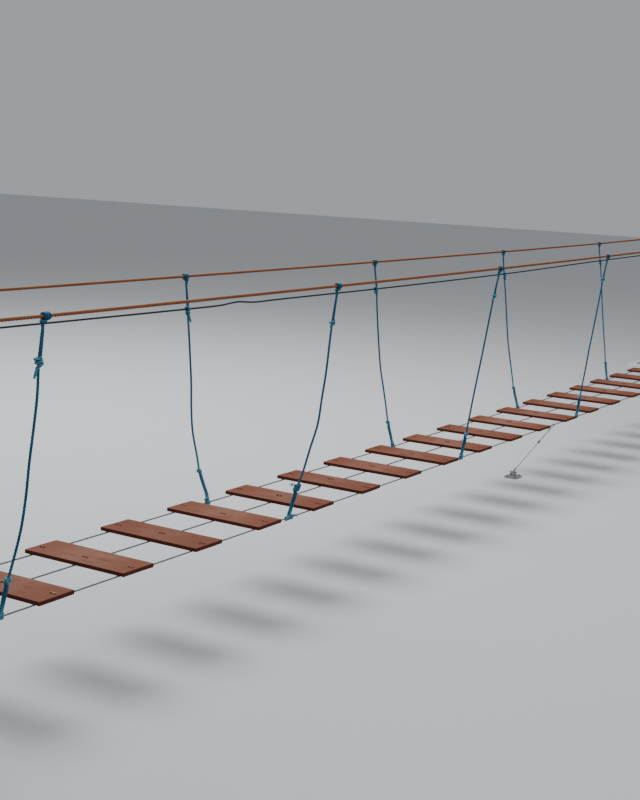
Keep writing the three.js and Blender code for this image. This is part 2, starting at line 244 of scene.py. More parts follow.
@dataclass(frozen=True)
class SafetyLine:
    """The line of the wire that hangs inside the left hand rope."""

    inset: float = 0.020
    sheath_radius: float = 0.0052
    sheath_from: float = 0.46
    heights: tuple[float, ...] = (0.936, 0.944, 0.951, 0.966, 0.992, 1.036, 1.066)
    kink: Profile = (
        (-1.70, 0.001), (-1.61, 0.007), (-1.54, 0.010), (-1.46, 0.004), (-1.39, -0.001), (-1.15, 0.0)
    )

    @property
    def stops(self) -> list[float]:
        """Where the wire's slope changes, from post to post."""
        return [0.0, *BRIDGE.stations, BRIDGE.span]

    def _side(self, stop: float) -> float:
        """How far the wire lies to the left at one of its stops.

        Args:
            stop: A post's or a hanger's place along the bridge.

        Returns:
            The wire's Y there.
        """
        if stop in (0.0, BRIDGE.span):
            return BRIDGE.post_offset - BRIDGE.wire_wrap
        return HAND_ROPE_LINES[Side.LEFT].point(stop)[1] - self.inset

    def point(self, x: float) -> Array:
        """The wire's axis at a place along the bridge, without the kink.

        Args:
            x: The place, from the start frame.

        Returns:
            The point on the axis.
        """
        stops = self.stops
        y = np.interp(x, stops, [self._side(stop) for stop in stops])
        return vec(x, y, BRIDGE.deck_height + np.interp(x, stops, self.heights))

    def sheathed(self) -> list[Array]:
        """The line of the sheathed stretch, with the set bend in the wire.

        Returns:
            Its points in order along the bridge.
        """
        places = [self.sheath_from, *BRIDGE.stations, BRIDGE.span - self.sheath_from]
        bend = [self.point(BRIDGE.middle + reach) + vec(0, 0, rise) for reach, rise in self.kink]
        return sorted([self.point(x) for x in places] + bend, key=lambda point: point[0])


SAFETY_LINE = SafetyLine()


# Shader maths

# Numbers of a colour mix's sockets, whose names the node gives to other sockets too
MIX_LOW, MIX_HIGH, MIX_RESULT = 6, 7, 2


class Value:
    """An output socket whose operators add Math nodes."""

    def __init__(self, tree: "Tree", socket: bpy.types.NodeSocket) -> None:
        """Wraps one output of a tree."""
        self.tree = tree
        self.socket = socket

    def _math(self, operation: str, *terms: "Value | float") -> "Value":
        """A Math node on the given terms."""
        inputs = dict(enumerate(terms))
        return self.tree.out(self.tree.node("ShaderNodeMath", {"operation": operation}, inputs))

    def __add__(self, other: "Value | float") -> "Value":
        """self + other."""
        return self._math("ADD", self, other)

    __radd__ = __add__

    def __sub__(self, other: "Value | float") -> "Value":
        """self - other."""
        return self._math("SUBTRACT", self, other)

    def __rsub__(self, other: "Value | float") -> "Value":
        """other - self."""
        return self._math("SUBTRACT", other, self)

    def __mul__(self, other: "Value | float") -> "Value":
        """self * other."""
        return self._math("MULTIPLY", self, other)

    __rmul__ = __mul__

    def __truediv__(self, other: "Value | float") -> "Value":
        """self / other."""
        return self._math("DIVIDE", self, other)

    def __rtruediv__(self, other: "Value | float") -> "Value":
        """other / self."""
        return self._math("DIVIDE", other, self)

    def __abs__(self) -> "Value":
        """The size of self without its sign."""
        return self._math("ABSOLUTE", self)

    def ramp(self, low: float, high: float) -> "Value":
        """A smooth rise from 0 to 1. With low above high it falls.

        Args:
            low: Where the result is 0.
            high: Where the result is 1.

        Returns:
            The result, which stays at 0 and 1 outside the two.
        """
        inputs = {"Value": self, "From Min": low, "From Max": high}
        settings = {"interpolation_type": "SMOOTHSTEP"}
        return self.tree.out(self.tree.node("ShaderNodeMapRange", settings, inputs))


class Tree:
    """The nodes of one material round a Principled shader."""

    def __init__(self, name: str) -> None:
        """Starts a material with an empty Principled shader.

        Args:
            name: The material's name.
        """
        self.material = bpy.data.materials.new(name)
        self.material.use_nodes = True
        self.material.node_tree.nodes.clear()
        self.shader = self.node("ShaderNodeBsdfPrincipled")
        self.node("ShaderNodeOutputMaterial", inputs={"Surface": Value(self, self.shader.outputs[0])})

    def node(
        self, kind: str, settings: dict | None = None, inputs: dict | None = None
    ) -> bpy.types.Node:
        """Adds any node.

        Args:
            kind: The node's type.
            settings: Properties, such as a Math node's operation, which are set first.
            inputs: Values or links for the sockets, by name or number.

        Returns:
            The new node.
        """
        node = self.material.node_tree.nodes.new(kind)
        for key, setting in (settings or {}).items():
            setattr(node, key, setting)
        for key, value in (inputs or {}).items():
            self.feed(node.inputs[key], value)
        return node

    def feed(self, socket: bpy.types.NodeSocket, value: "Value | float | Sequence[float]") -> None:
        """Links or sets one input socket.

        Args:
            socket: The input.
            value: What it takes. Only an output is linked.
        """
        if isinstance(value, Value):
            self.material.node_tree.links.new(value.socket, socket)
        elif socket.type == "RGBA":
            socket.default_value = (*value, 1.0)
        else:
            socket.default_value = value

    def out(self, node: bpy.types.Node, name: str | int = 0) -> Value:
        """An output of a node, ready for an expression."""
        return Value(self, node.outputs[name])

    def surface(self, **inputs: "Value | float | Sequence[float]") -> None:
        """Sets inputs of the Principled shader, with _ for a space in a name."""
        for key, value in inputs.items():
            self.feed(self.shader.inputs[key.replace("_", " ")], value)

    def attribute(self, name: str, output: str = "Fac") -> Value:
        """A mesh attribute, as a number with output Fac or as a vector with output Vector."""
        return self.out(self.node("ShaderNodeAttribute", {"attribute_name": name}), output)

    def stretched(self, vector: Value, scales: Sequence[float]) -> Value:
        """A vector with each part multiplied by its own scale."""
        inputs = {0: vector, 1: scales}
        return self.out(self.node("ShaderNodeVectorMath", {"operation": "MULTIPLY"}, inputs))

    def noise(self, vector: Value, scale: float, detail: float = 3.0, roughness: float = 0.55) -> Value:
        """Soft noise from 0 to 1."""
        inputs = {"Vector": vector, "Scale": scale, "Detail": detail, "Roughness": roughness}
        return self.out(self.node("ShaderNodeTexNoise", inputs=inputs))

    def mix(self, share: "Value | float", low: "Value | Colour", high: "Value | Colour") -> Value:
        """A colour between low and high."""
        inputs = {0: share, MIX_LOW: low, MIX_HIGH: high}
        return self.out(self.node("ShaderNodeMix", {"data_type": "RGBA"}, inputs), MIX_RESULT)

    def bump(self, height: Value, strength: float, distance: float) -> Value:
        """A normal that follows a height."""
        inputs = {"Height": height, "Strength": strength, "Distance": distance}
        return self.out(self.node("ShaderNodeBump", inputs=inputs))


def from_screen(red: int, green: int, blue: int) -> Colour:
    """A colour seen on screen, as the linear values that a shader takes.

    Args:
        red: Its red, from 0 to 255.
        green: Its green.
        blue: Its blue.

    Returns:
        The three linear values, from 0 to 1.
    """
    parts = (part / 255 for part in (red, green, blue))
    linear = [part / 12.92 if part <= 0.04045 else ((part + 0.055) / 1.055) ** 2.4 for part in parts]
    return linear[0], linear[1], linear[2]


# Finishes


@dataclass(frozen=True)
class BoardPaint:
    """Red-brown paint on a sawn board, dusty where feet fall; its sides, ends and underside are dark,
    partly bare end grain and mostly painted shade.
    """

    name: str = "board_paint"
    fresh: Colour = from_screen(123, 67, 43)
    dusty: Colour = from_screen(141, 100, 84)
    stained: Colour = from_screen(100, 48, 31)
    # Dark colour of the sides, ends and underside: painted shade, partly dark end grain.
    shaded_edge: Colour = from_screen(78, 33, 21)
    half_length: float = BRIDGE.plank_length / 2
    half_width: float = BRIDGE.plank_width / 2
    seed_steps: tuple[float, float, float] = (3.1, 1.7, 5.3)
    cloud_scale: float = 16.0
    grain_stretch: tuple[float, float, float] = (60.0, 2.2, 60.0)
    grain_scale: float = 4.0
    speck_scale: float = 420.0
    roughness: float = 0.72
    specular: float = 0.16
    relief: float = 0.0008

    def build(self) -> Material:
        """Makes the finish.

        Returns:
            Its material.
        """
        tree = Tree(self.name)
        place = tree.attribute("board", "Vector")
        parts = tree.node("ShaderNodeSeparateXYZ", inputs={0: place})
        across, length = tree.out(parts, 0), tree.out(parts, 1)
        seed = tree.attribute("seed")
        shifts = {axis: seed * step for axis, step in enumerate(self.seed_steps)}
        shift = tree.node("ShaderNodeCombineXYZ", inputs=shifts)
        coords = tree.out(tree.node("ShaderNodeVectorMath", inputs={0: place, 1: tree.out(shift)}))

        clouds = tree.noise(tree.stretched(coords, (1.0, 0.45, 1.0)), self.cloud_scale, 4.0, 0.6)
        grain = tree.noise(tree.stretched(coords, self.grain_stretch), self.grain_scale, 4.0, 0.6)
        specks = tree.noise(coords, self.speck_scale, 2.0)
        toward_end = (abs(length) / self.half_length).ramp(0.15, 0.85)
        toward_side = (abs(across) / self.half_width).ramp(0.55, 1.0)
        rim = (abs(across) / self.half_width).ramp(0.93, 0.985)

        dust = (1.0 - toward_end * 0.8) * clouds.ramp(0.26, 0.56)
        colour = tree.mix(dust, self.fresh, self.dusty)
        colour = tree.mix(clouds.ramp(0.54, 0.76) * 0.55, colour, self.stained)
        colour = tree.mix(grain.ramp(0.48, 0.72) * 0.30, colour, self.stained)
        colour = tree.mix(toward_side * 0.15 + rim * 0.35, colour, self.dusty)
        colour = tree.mix(specks.ramp(0.62, 0.75) * 0.25, colour, self.dusty)
        tone = tree.attribute("tone")
        colour = tree.mix(tone, colour, self.stained)
        # The sides, ends and underside take the painted shade.
        colour = tree.mix(tree.attribute("shaded_edge"), colour, self.shaded_edge)

        height = grain * 0.7 + specks * 0.3
        tree.surface(
            Base_Color=colour,
            Roughness=self.roughness + dust * 0.2,
            Specular_IOR_Level=self.specular,
            Normal=tree.bump(height, 0.35, self.relief),
        )
        return tree.material


@dataclass(frozen=True)
class RopeFibre:
    """Laid rope of plastic fibre: worn pale crowns and fading along its length, painted shade in its
    grooves and on its undersides, and pale upper faces and knots that are partly bleaching and partly
    painted light.
    """

    name: str
    main: Colour
    # Pale colour of worn, faded crowns, also used as painted highlight and sky reflection on lit faces.
    faded: Colour
    groove_shade: Colour
    bleaching_and_top_light: float = 0.5
    fibre_scale: float = 900.0
    fading_scale: float = 7.0
    roughness: float = 0.5
    specular: float = 0.25
    relief: float = 0.0006

    def build(self) -> Material:
        """Makes the finish.

        Returns:
            Its material.
        """
        tree = Tree(self.name)
        place = tree.attribute("lay", "Vector")
        crest = tree.attribute("crest")
        fibres = tree.noise(tree.stretched(place, (1.0, 1.0, 0.05)), self.fibre_scale, 3.0, 0.6)
        fading = tree.noise(tree.stretched(place, (0.2, 0.2, 1.0)), self.fading_scale, 3.0)
        worn = crest.ramp(0.45, 1.0) * fading.ramp(0.35, 0.65)
        facing = tree.attribute("facing")
        # Upper faces paler: partly sun bleaching, partly painted light from above.
        bleached_and_top_lit = facing.ramp(0.15, 0.85)
        # Painted shade in the grooves between the strands.
        colour = tree.mix(crest.ramp(0.0, 0.55), self.groove_shade, self.main)
        colour = tree.mix(worn * 0.3 + fibres.ramp(0.5, 0.8) * 0.1, colour, self.faded)
        # Crests paler where the mesh marks them: partly bleaching, partly a painted highlight on knots and
        # lit faces.
        weathered = tree.attribute("weathered") * crest.ramp(0.2, 0.8)
        colour = tree.mix(weathered * 0.6, colour, self.faded)
        colour = tree.mix(bleached_and_top_lit * self.bleaching_and_top_light, colour, self.faded)
        # Painted shade on the faces that look down.
        colour = tree.mix(facing.ramp(0.0, -0.8) * 0.7, colour, self.groove_shade)
        tree.surface(
            Base_Color=colour,
            Roughness=self.roughness + fibres * 0.25,
            Specular_IOR_Level=self.specular,
            Normal=tree.bump(fibres, 0.5, self.relief),
        )
        return tree.material


@dataclass(frozen=True)
class WireSteel:
    """Wire rope: dull metal on the strands, darker between them."""

    name: str
    zinc: Colour
    dull: Colour
    between_strands: Colour
    metallic: float = 0.05
    wire_scale: float = 1600.0
    patch_scale: float = 22.0
    roughness: float = 0.52
    specular: float = 0.3
    relief: float = 0.0003

    def build(self) -> Material:
        """Makes the finish.

        Returns:
            Its material.
        """
        tree = Tree(self.name)
        place = tree.attribute("lay", "Vector")
        crest = tree.attribute("crest")
        wires = tree.noise(tree.stretched(place, (1.0, 1.0, 0.06)), self.wire_scale, 2.0)
        patches = tree.noise(tree.stretched(place, (0.3, 0.3, 1.0)), self.patch_scale, 3.0)
        colour = tree.mix(patches.ramp(0.35, 0.65), self.dull, self.zinc)
        # Darker towards the grooves between the strands.
        colour = tree.mix(crest.ramp(0.7, 0.1), colour, self.between_strands)
        tree.surface(
            Base_Color=colour,
            Roughness=self.roughness + patches * 0.2,
            Metallic=self.metallic + crest * 0.1,
            Specular_IOR_Level=self.specular,
            Normal=tree.bump(wires, 0.6, self.relief),
        )
        return tree.material


@dataclass(frozen=True)
class PlasticSheath:
    """Dark plastic drawn over a wire: chalky patches, dust on top and scuffs along it."""

    name: str = "plastic_sheath"
    main: Colour = from_screen(14, 30, 38)
    chalky: Colour = from_screen(56, 74, 84)
    patch_scale: float = 16.0
    scuff_scale: float = 700.0
    roughness: float = 0.4
    specular: float = 0.3
    relief: float = 0.0002

    def build(self) -> Material:
        """Makes the finish.

        Returns:
            Its material.
        """
        tree = Tree(self.name)
        place = tree.attribute("lay", "Vector")
        patches = tree.noise(tree.stretched(place, (0.6, 0.6, 1.0)), self.patch_scale, 4.0)
        scuffs = tree.noise(tree.stretched(place, (1.0, 1.0, 0.12)), self.scuff_scale, 3.0)
        dust = tree.attribute("facing").ramp(0.5, 1.0) * 0.2
        worn = patches.ramp(0.5, 0.75) * 0.35 + scuffs.ramp(0.6, 0.8) * 0.2 + dust
        tree.surface(
            Base_Color=tree.mix(worn, self.main, self.chalky),
            Roughness=self.roughness + patches * 0.2 + scuffs * 0.15,
            Specular_IOR_Level=self.specular,
            Normal=tree.bump(scuffs, 0.3, self.relief),
        )
        return tree.material


@dataclass(frozen=True)
class Galvanised:
    """Hot-dip galvanised steel with a soft spangle and weathered streaks."""

    name: str = "galvanised"
    bright: Colour = from_screen(176, 181, 183)
    dull: Colour = from_screen(138, 143, 145)
    stained: Colour = from_screen(112, 104, 94)
    spangle_scale: float = 90.0
    streak_scale: float = 2.5
    patch_scale: float = 9.0
    roughness: float = 0.38
    metallic: float = 0.75
    relief: float = 0.0008

    def build(self) -> Material:
        """Makes the finish.

        Returns:
            Its material.
        """
        tree = Tree(self.name)
        place = tree.out(tree.node("ShaderNodeTexCoord"), "Object")
        cells = {"Vector": place, "Scale": self.spangle_scale, "Randomness": 1.0}
        voronoi = tree.node("ShaderNodeTexVoronoi", {"feature": "F1"}, cells)
        spangle = tree.noise(tree.out(voronoi, "Color"), 1.0, 0.0)
        streaks = tree.noise(tree.stretched(place, (9.0, 9.0, 1.3)), self.streak_scale, 5.0, 0.6)
        patches = tree.noise(place, self.patch_scale, 4.0)
        colour = tree.mix(spangle.ramp(0.3, 0.7) * 0.8, self.dull, self.bright)
        colour = tree.mix(streaks.ramp(0.52, 0.72) * 0.5, colour, self.stained)
        tree.surface(
            Base_Color=colour,
            Roughness=self.roughness + patches * 0.25,
            Metallic=self.metallic - streaks.ramp(0.55, 0.75) * 0.3,
            Normal=tree.bump(patches * 0.6 + spangle * 0.4, 0.15, self.relief),
        )
        return tree.material


@dataclass(frozen=True)
class ZincPlate:
    """Zinc-plated bolts, nuts and clips with rust starting in their corners."""

    name: str = "zinc_plate"
    bright: Colour = from_screen(158, 148, 136)
    dull: Colour = from_screen(114, 102, 90)
    rust: Colour = from_screen(98, 60, 38)
    patch_scale: float = 60.0
    rust_scale: float = 28.0
    roughness: float = 0.3
    metallic: float = 0.9
    relief: float = 0.0004

    def build(self) -> Material:
        """Makes the finish.

        Returns:
            Its material.
        """
        tree = Tree(self.name)
        place = tree.out(tree.node("ShaderNodeTexCoord"), "Object")
        patches = tree.noise(place, self.patch_scale, 4.0)
        rusting = tree.noise(place, self.rust_scale, 5.0, 0.65).ramp(0.56, 0.68)
        colour = tree.mix(patches.ramp(0.35, 0.6), self.dull, self.bright)
        colour = tree.mix(rusting * 0.7, colour, self.rust)
        tree.surface(
            Base_Color=colour,
            Roughness=self.roughness + patches * 0.2 + rusting * 0.3,
            Metallic=self.metallic - rusting * 0.7,
            Normal=tree.bump(patches, 0.2, self.relief),
        )
        return tree.material


@dataclass(frozen=True)
class PaintedSteel:
    """Bolts and nuts brushed over with the boards' paint, with grime round them."""

    name: str = "painted_steel"
    paint: Colour = from_screen(148, 96, 75)
    grimy: Colour = from_screen(126, 76, 58)
    patch_scale: float = 90.0
    roughness: float = 0.55
    relief: float = 0.0005

    def build(self) -> Material:
        """Makes the finish.

        Returns:
            Its material.
        """
        tree = Tree(self.name)
        place = tree.out(tree.node("ShaderNodeTexCoord"), "Object")
        patches = tree.noise(place, self.patch_scale, 4.0)
        colour = tree.mix(patches.ramp(0.42, 0.62), self.paint, self.grimy)
        tree.surface(
            Base_Color=colour,
            Roughness=self.roughness + patches * 0.3,
            Normal=tree.bump(patches, 0.3, self.relief),
        )
        return tree.material


@dataclass(frozen=True)
class StudioFloor:
    """Plain pale floor."""

    name: str = "studio_floor"
    tint: Colour = (0.62, 0.63, 0.64)
    roughness: float = 0.9

    def build(self) -> Material:
        """Makes the finish.

        Returns:
            Its material.
        """
        tree = Tree(self.name)
        tree.surface(Base_Color=self.tint, Roughness=self.roughness)
        return tree.material


class Palette:
    """Every finish on the bridge, built once."""

    def __init__(self) -> None:
        """Builds the finishes."""
        self.board = BoardPaint().build()
        self.hand_rope = RopeFibre(
            "hand_rope_fibre",
            main=from_screen(143, 77, 40),
            faded=from_screen(174, 121, 85),
            groove_shade=from_screen(76, 38, 18),
        ).build()
        self.hanger = RopeFibre(
            "hanger_fibre",
            main=from_screen(4, 72, 116),
            # Pale blue: faded fibre and painted sky reflection on lit faces.
            faded=from_screen(92, 164, 184),
            groove_shade=from_screen(2, 28, 48),
        ).build()
        self.frayed = RopeFibre(
            "frayed_fibre",
            main=from_screen(200, 202, 182),
            faded=from_screen(228, 226, 204),
            groove_shade=from_screen(140, 152, 150),
        ).build()
        self.wire = WireSteel(
            "zinc_wire",
            zinc=from_screen(138, 144, 146),
            dull=from_screen(117, 123, 125),
            between_strands=from_screen(74, 77, 78),
        ).build()
        self.sheath = PlasticSheath().build()
        self.frame = Galvanised().build()
        self.bolt = ZincPlate().build()
        self.painted_bolt = PaintedSteel().build()
        self.grimy_bolt = PaintedSteel(
            "grimy_steel", paint=from_screen(138, 88, 64), grimy=from_screen(106, 66, 46)
        ).build()


# Shapes

BOLT_CREASE = 35.0
BOARD_CREASE = 40.0
STAY_CREASE = 40.0
SAME_PLACE = 1e-6
NEARLY_UPRIGHT = 0.1
DENSE_STEPS = 12
POINTS_PER_TURN = 14
BEND_STEPS = 9
BEND_SPACING = 0.0025


@dataclass
class Shape:
    """The points and faces of a mesh in the making, with the attributes of its points."""

    points: Array
    faces: list[tuple[int, ...]]
    attributes: dict[str, Array] = field(default_factory=dict)
    finish: int = 0
    finishes: list[int] = field(default_factory=list)

    def moved(self, matrix: Matrix) -> "Shape":
        """The shape turned and moved by a matrix.

        Args:
            matrix: A matrix without any scale.

        Returns:
            A new shape with the same faces, attributes and finishes.
        """
        turn = np.array(matrix.to_3x3())
        points = self.points @ turn.T + np.array(matrix.translation)
        return Shape(points, self.faces, self.attributes, self.finish, self.finishes)


def joined(shapes: Sequence[Shape]) -> Shape:
    """Several shapes as one mesh.

    Args:
        shapes: Shapes that may have different attributes, which are zero where they are missing.

    Returns:
        One shape with all the points and faces.
    """
    start = 0
    faces: list[tuple[int, ...]] = []
    finishes: list[int] = []
    for shape in shapes:
        faces.extend(tuple(index + start for index in face) for face in shape.faces)
        finishes.extend(shape.finishes or [shape.finish] * len(shape.faces))
        start += len(shape.points)
    sizes = {name: values.shape[1:] for shape in shapes for name, values in shape.attributes.items()}
    attributes = {
        name: np.concatenate(
            [shape.attributes.get(name, np.zeros((len(shape.points), *size))) for shape in shapes]
        )
        for name, size in sizes.items()
    }
    points = np.concatenate([shape.points for shape in shapes])
    return Shape(points, faces, attributes, finishes=finishes)


def turned_to(direction: Array, place: Array) -> Matrix:
    """A matrix that stands a shape made round +Z on a place, along a direction."""
    turn = Vector((0, 0, 1)).rotation_difference(Vector(direction)).to_matrix().to_4x4()
    return Matrix.Translation(Vector(place)) @ turn


def lathe(profile: Sequence[tuple[float, float]], sides: int) -> Shape:
    """A shape turned round +Z.

    Args:
        profile: Radius and height of each ring, from the bottom. The ends are closed.
        sides: Sides of each ring.

    Returns:
        The closed shape.
    """
    angles = np.arange(sides) * 2 * math.pi / sides
    rings = [
        np.column_stack([radius * np.cos(angles), radius * np.sin(angles), np.full(sides, height)])
        for radius, height in profile
    ]
    faces = ring_faces(len(rings), sides)
    return Shape(np.concatenate(rings), faces)


def ring_faces(rings: int, sides: int) -> list[tuple[int, ...]]:
    """Faces between rings of equal size, with both ends closed.

    Args:
        rings: How many rings lie one after another.
        sides: How many points each of them has.

    Returns:
        The faces, as numbers of the rings' points in order.
    """
    faces: list[tuple[int, ...]] = []
    for ring in range(rings - 1):
        low = ring * sides
        for side in range(sides):
            after = (side + 1) % sides
            faces.append((low + side, low + after, low + sides + after, low + sides + side))
    faces.append(tuple(reversed(range(sides))))
    faces.append(tuple(range((rings - 1) * sides, rings * sides)))
    return faces


def smooth_line(points: Sequence[Array], spacing: float) -> Array:
    """A smooth line through points, stepped evenly.

    Args:
        points: The points that the line goes through.
        spacing: The length of a step.

    Returns:
        The stepped points, the two ends among them.
    """
    knots = np.asarray(points, float)
    steps = np.linalg.norm(np.diff(knots, axis=0), axis=1)
    keep = np.concatenate([[True], steps > SAME_PLACE])
    knots = knots[keep]
    gaps = np.sqrt(np.linalg.norm(np.diff(knots, axis=0), axis=1))
    times = np.concatenate([[0.0], np.cumsum(gaps)])
    slopes = np.gradient(knots, times, axis=0)
    between = [np.linspace(low, high, DENSE_STEPS, endpoint=False) for low, high in zip(times, times[1:])]
    dense_times = np.concatenate([*between, times[-1:]])
    index = np.clip(np.searchsorted(times, dense_times, side="right") - 1, 0, len(gaps) - 1)
    gap = gaps[index][:, None]
    share = ((dense_times - times[index])[:, None]) / gap
    dense = (
        (2 * share**3 - 3 * share**2 + 1) * knots[index]
        + (share**3 - 2 * share**2 + share) * gap * slopes[index]
        + (3 * share**2 - 2 * share**3) * knots[index + 1]
        + (share**3 - share**2) * gap * slopes[index + 1]
    )
    return even_steps(dense, spacing)


def even_steps(points: Array, spacing: float) -> Array:
    """A line of straight pieces, stepped evenly.

    Args:
        points: The corners of the line.
        spacing: The wished length of a step.

    Returns:
        The stepped points, the two ends among them.
    """
    reach = np.concatenate([[0.0], np.cumsum(np.linalg.norm(np.diff(points, axis=0), axis=1))])
    count = max(2, int(round(reach[-1] / spacing)) + 1)
    places = np.linspace(0.0, reach[-1], count)
    return np.column_stack([np.interp(places, reach, points[:, axis]) for axis in range(3)])


@dataclass(frozen=True)
class Lay:
    """How strands lie round a rope: the swollen outline that turns along its line."""

    radius: float
    strands: int
    lay_length: float
    groove_share: float
    points_per_strand: int = 4
    rings_per_turn: int = 11
    fullness: float = 0.7

    @property
    def spacing(self) -> float:
        """Length along the rope between two rings."""
        return self.lay_length / self.rings_per_turn

    def outline(self) -> tuple[Array, Array, Array]:
        """The outline across the rope.

        Returns:
            Angles, radii and crest values of the points of one ring. A crest is 1, a groove 0.
        """
        count = self.strands * self.points_per_strand
        angles = np.arange(count) * 2 * math.pi / count
        crest = np.abs(np.cos(angles * self.strands / 2)) ** self.fullness
        radii = self.radius * (self.groove_share + (1 - self.groove_share) * crest)
        return angles, radii, crest

    def sweep(self, line: Array, taper: Callable[[float], float] | None = None) -> Shape:
        """The rope along a line of evenly stepped points.

        Args:
            line: The rope's axis.
            taper: The rope's thickness as a share, from the start of the line at 0 to its end at 1.

        Returns:
            The closed rope, with its place in the lay, its crests and how far each point faces up
            as attributes.
        """
        tangents = np.gradient(line, axis=0)
        tangents /= np.linalg.norm(tangents, axis=1)[:, None]
        first = np.cross(tangents[0], [0.0, 0.0, 1.0])
        if np.linalg.norm(first) < NEARLY_UPRIGHT:
            first = np.cross(tangents[0], [1.0, 0.0, 0.0])
        normals = [unit(first)]
        for tangent in tangents[1:]:
            carried = normals[-1] - tangent * np.dot(normals[-1], tangent)
            normals.append(unit(carried))
        normals = np.array(normals)
        sideways = np.cross(tangents, normals)
        reach = np.concatenate([[0.0], np.cumsum(np.linalg.norm(np.diff(line, axis=0), axis=1))])
        angles, radii, crest = self.outline()
        turned = angles[None, :] + (2 * math.pi / self.lay_length * reach)[:, None]
        shares = np.ones(len(line)) if taper is None else np.array([taper(s / reach[-1]) for s in reach])
        local_x = np.cos(turned) * radii * shares[:, None]
        local_y = np.sin(turned) * radii * shares[:, None]
        points = (
            line[:, None, :]
            + local_x[:, :, None] * normals[:, None, :]
            + local_y[:, :, None] * sideways[:, None, :]
        ).reshape(-1, 3)
        reaches = np.repeat(reach, len(angles))
        facing = np.cos(turned) * normals[:, 2:] + np.sin(turned) * sideways[:, 2:]
        attributes = {
            "lay": np.column_stack([local_x.ravel(), local_y.ravel(), reaches]),
            "crest": np.tile(crest, len(line)),
            "facing": facing.ravel(),
        }
        return Shape(points, ring_faces(len(line), len(angles)), attributes)


HAND_ROPE_LAY = Lay(BRIDGE.hand_rope_radius, 3, 0.052, 0.70)
HANGER_LAY = Lay(BRIDGE.hanger_radius, 3, 0.042, 0.70, rings_per_turn=10)
WIRE_LAY = Lay(BRIDGE.wire_radius, 6, 0.056, 0.80, points_per_strand=2, rings_per_turn=9)
SHEATH_LAY = Lay(SAFETY_LINE.sheath_radius, 6, 0.056, 0.94, points_per_strand=3, rings_per_turn=7)
STAY_LAY = Lay(0.0025, 6, 0.034, 0.80, points_per_strand=2, rings_per_turn=8)


def rod(line: Array, radius: float, sides: int = 8) -> Shape:
    """A plain round bar along a line of points."""
    bar = Lay(radius, sides, 1e6, 1.0, points_per_strand=1).sweep(line)
    return Shape(bar.points, bar.faces)


def u_bolt(leg: float, top: float, bend: float, depth: float, radius: float) -> Shape:
    """A bar bent to a U across the bridge, with its legs up.

    Args:
        leg: How far each leg stands from the middle.
        top: Height of the legs' tips.
        bend: Height at which the bend starts.
        depth: Depth of the bend, as a share of the leg's distance.
        radius: Radius of the bar.

    Returns:
        The closed bar.
    """
    turn = [
        vec(0, leg * math.cos(angle), bend - leg * math.sin(angle) * depth)
        for angle in np.linspace(0, math.pi, BEND_STEPS)
    ]
    return rod(smooth_line([vec(0, leg, top), *turn, vec(0, -leg, top)], BEND_SPACING), radius)


def hex_nut(width: float, height: float) -> Shape:
    """A six-sided nut with turned-down corners, standing on its seat.

    Args:
        width: Across the flats.
        height: From seat to top.

    Returns:
        The closed nut, without its thread.
    """
    corner = width / math.sqrt(3)
    worn = corner * 0.93
    profile = [(worn, 0.0), (corner, height * 0.14), (corner, height * 0.86), (worn, height)]
    return lathe(profile, 6)


@dataclass(frozen=True)
class Washer:
    """A flat washer whose rim is rounded between its faces."""

    radius: float
    rim_radius: float
    rim_height: float
    height: float
    sides: int

    def build(self) -> Shape:
        """The washer, lying on its seat."""
        profile = [(self.radius, 0.0), (self.rim_radius, self.rim_height), (self.radius, self.height)]
        return lathe(profile, self.sides)


def block(length: float, width: float, height: float, chamfer: float) -> Shape:
    """A block round the origin whose upright edges and rims are chamfered.

    Args:
        length: Its size along X.
        width: Its size along Y.
        height: Its size along Z.
        chamfer: How far the chamfers reach along each side.

    Returns:
        The closed block.
    """
    corners = []
    for sx, sy in ((1, 1), (-1, 1), (-1, -1), (1, -1)):
        near = [(length / 2 - chamfer, width / 2), (length / 2, width / 2 - chamfer)]
        pair = [(sx * x, sy * y) for x, y in near]
        corners.extend(reversed(pair) if sx * sy > 0 else pair)
    outline = np.array(corners)
    half = height / 2
    rings = []
    for z, inset in ((-half, chamfer), (-half + chamfer, 0.0), (half - chamfer, 0.0), (half, chamfer)):
        scale = np.array([1 - 2 * inset / length, 1 - 2 * inset / width])
        rings.append(np.column_stack([outline * scale, np.full(len(outline), z)]))
    return Shape(np.concatenate(rings), ring_faces(len(rings), len(outline)))


def add_piece(
    name: str,
    shape: Shape,
    materials: Sequence[Material],
    stands_for: Sequence[str] = (),
    crease_degrees: float | None = None,
) -> None:
    """Makes a piece of the bridge from a shape.

    Args:
        name: The piece's name.
        shape: Its mesh.
        materials: Its finishes, in the order of the faces' finish numbers.
        stands_for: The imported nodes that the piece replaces.
        crease_degrees: Edges sharper than this stay sharp. None is smooth all over.
    """
    mesh = bpy.data.meshes.new(name)
    mesh.from_pydata(shape.points.tolist(), [], shape.faces)
    if shape.finishes:
        mesh.polygons.foreach_set("material_index", shape.finishes)
    for key, values in shape.attributes.items():
        kind = "FLOAT_VECTOR" if values.ndim == 2 else "FLOAT"
        attribute = mesh.attributes.new(key, kind, "POINT")
        target = "vector" if values.ndim == 2 else "value"
        attribute.data.foreach_set(target, values.astype(np.float32).ravel())
    mesh.shade_smooth()
    if crease_degrees is not None:
        mesh.set_sharp_from_angle(angle=math.radians(crease_degrees))
    for material in materials:
        mesh.materials.append(material)
    mesh.update()
    piece = bpy.data.objects.new(name, mesh)
    bpy.context.scene.collection.objects.link(piece)
    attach(piece, BODY)
    if stands_for:
        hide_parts(*stands_for)
    triangles = sum(len(face) - 2 for face in shape.faces)
    LOG.info("%s: %d triangles", name, triangles)


# Deck


class NutLook(Enum):
    """Which nuts of a clamp are bare or grimy, by finish numbers on the outer and inner leg."""

    PAINTED = (1, 1)
    GRIMY = (2, 2)
    OUTER_BARE = (0, 1)
    INNER_BARE = (1, 0)
    BARE = (0, 0)


@dataclass(frozen=True)
class ClampForm:
    """How one clamp departs from the rest: its shift along the bridge and its nuts' look."""

    shift: float
    look: NutLook = NutLook.PAINTED


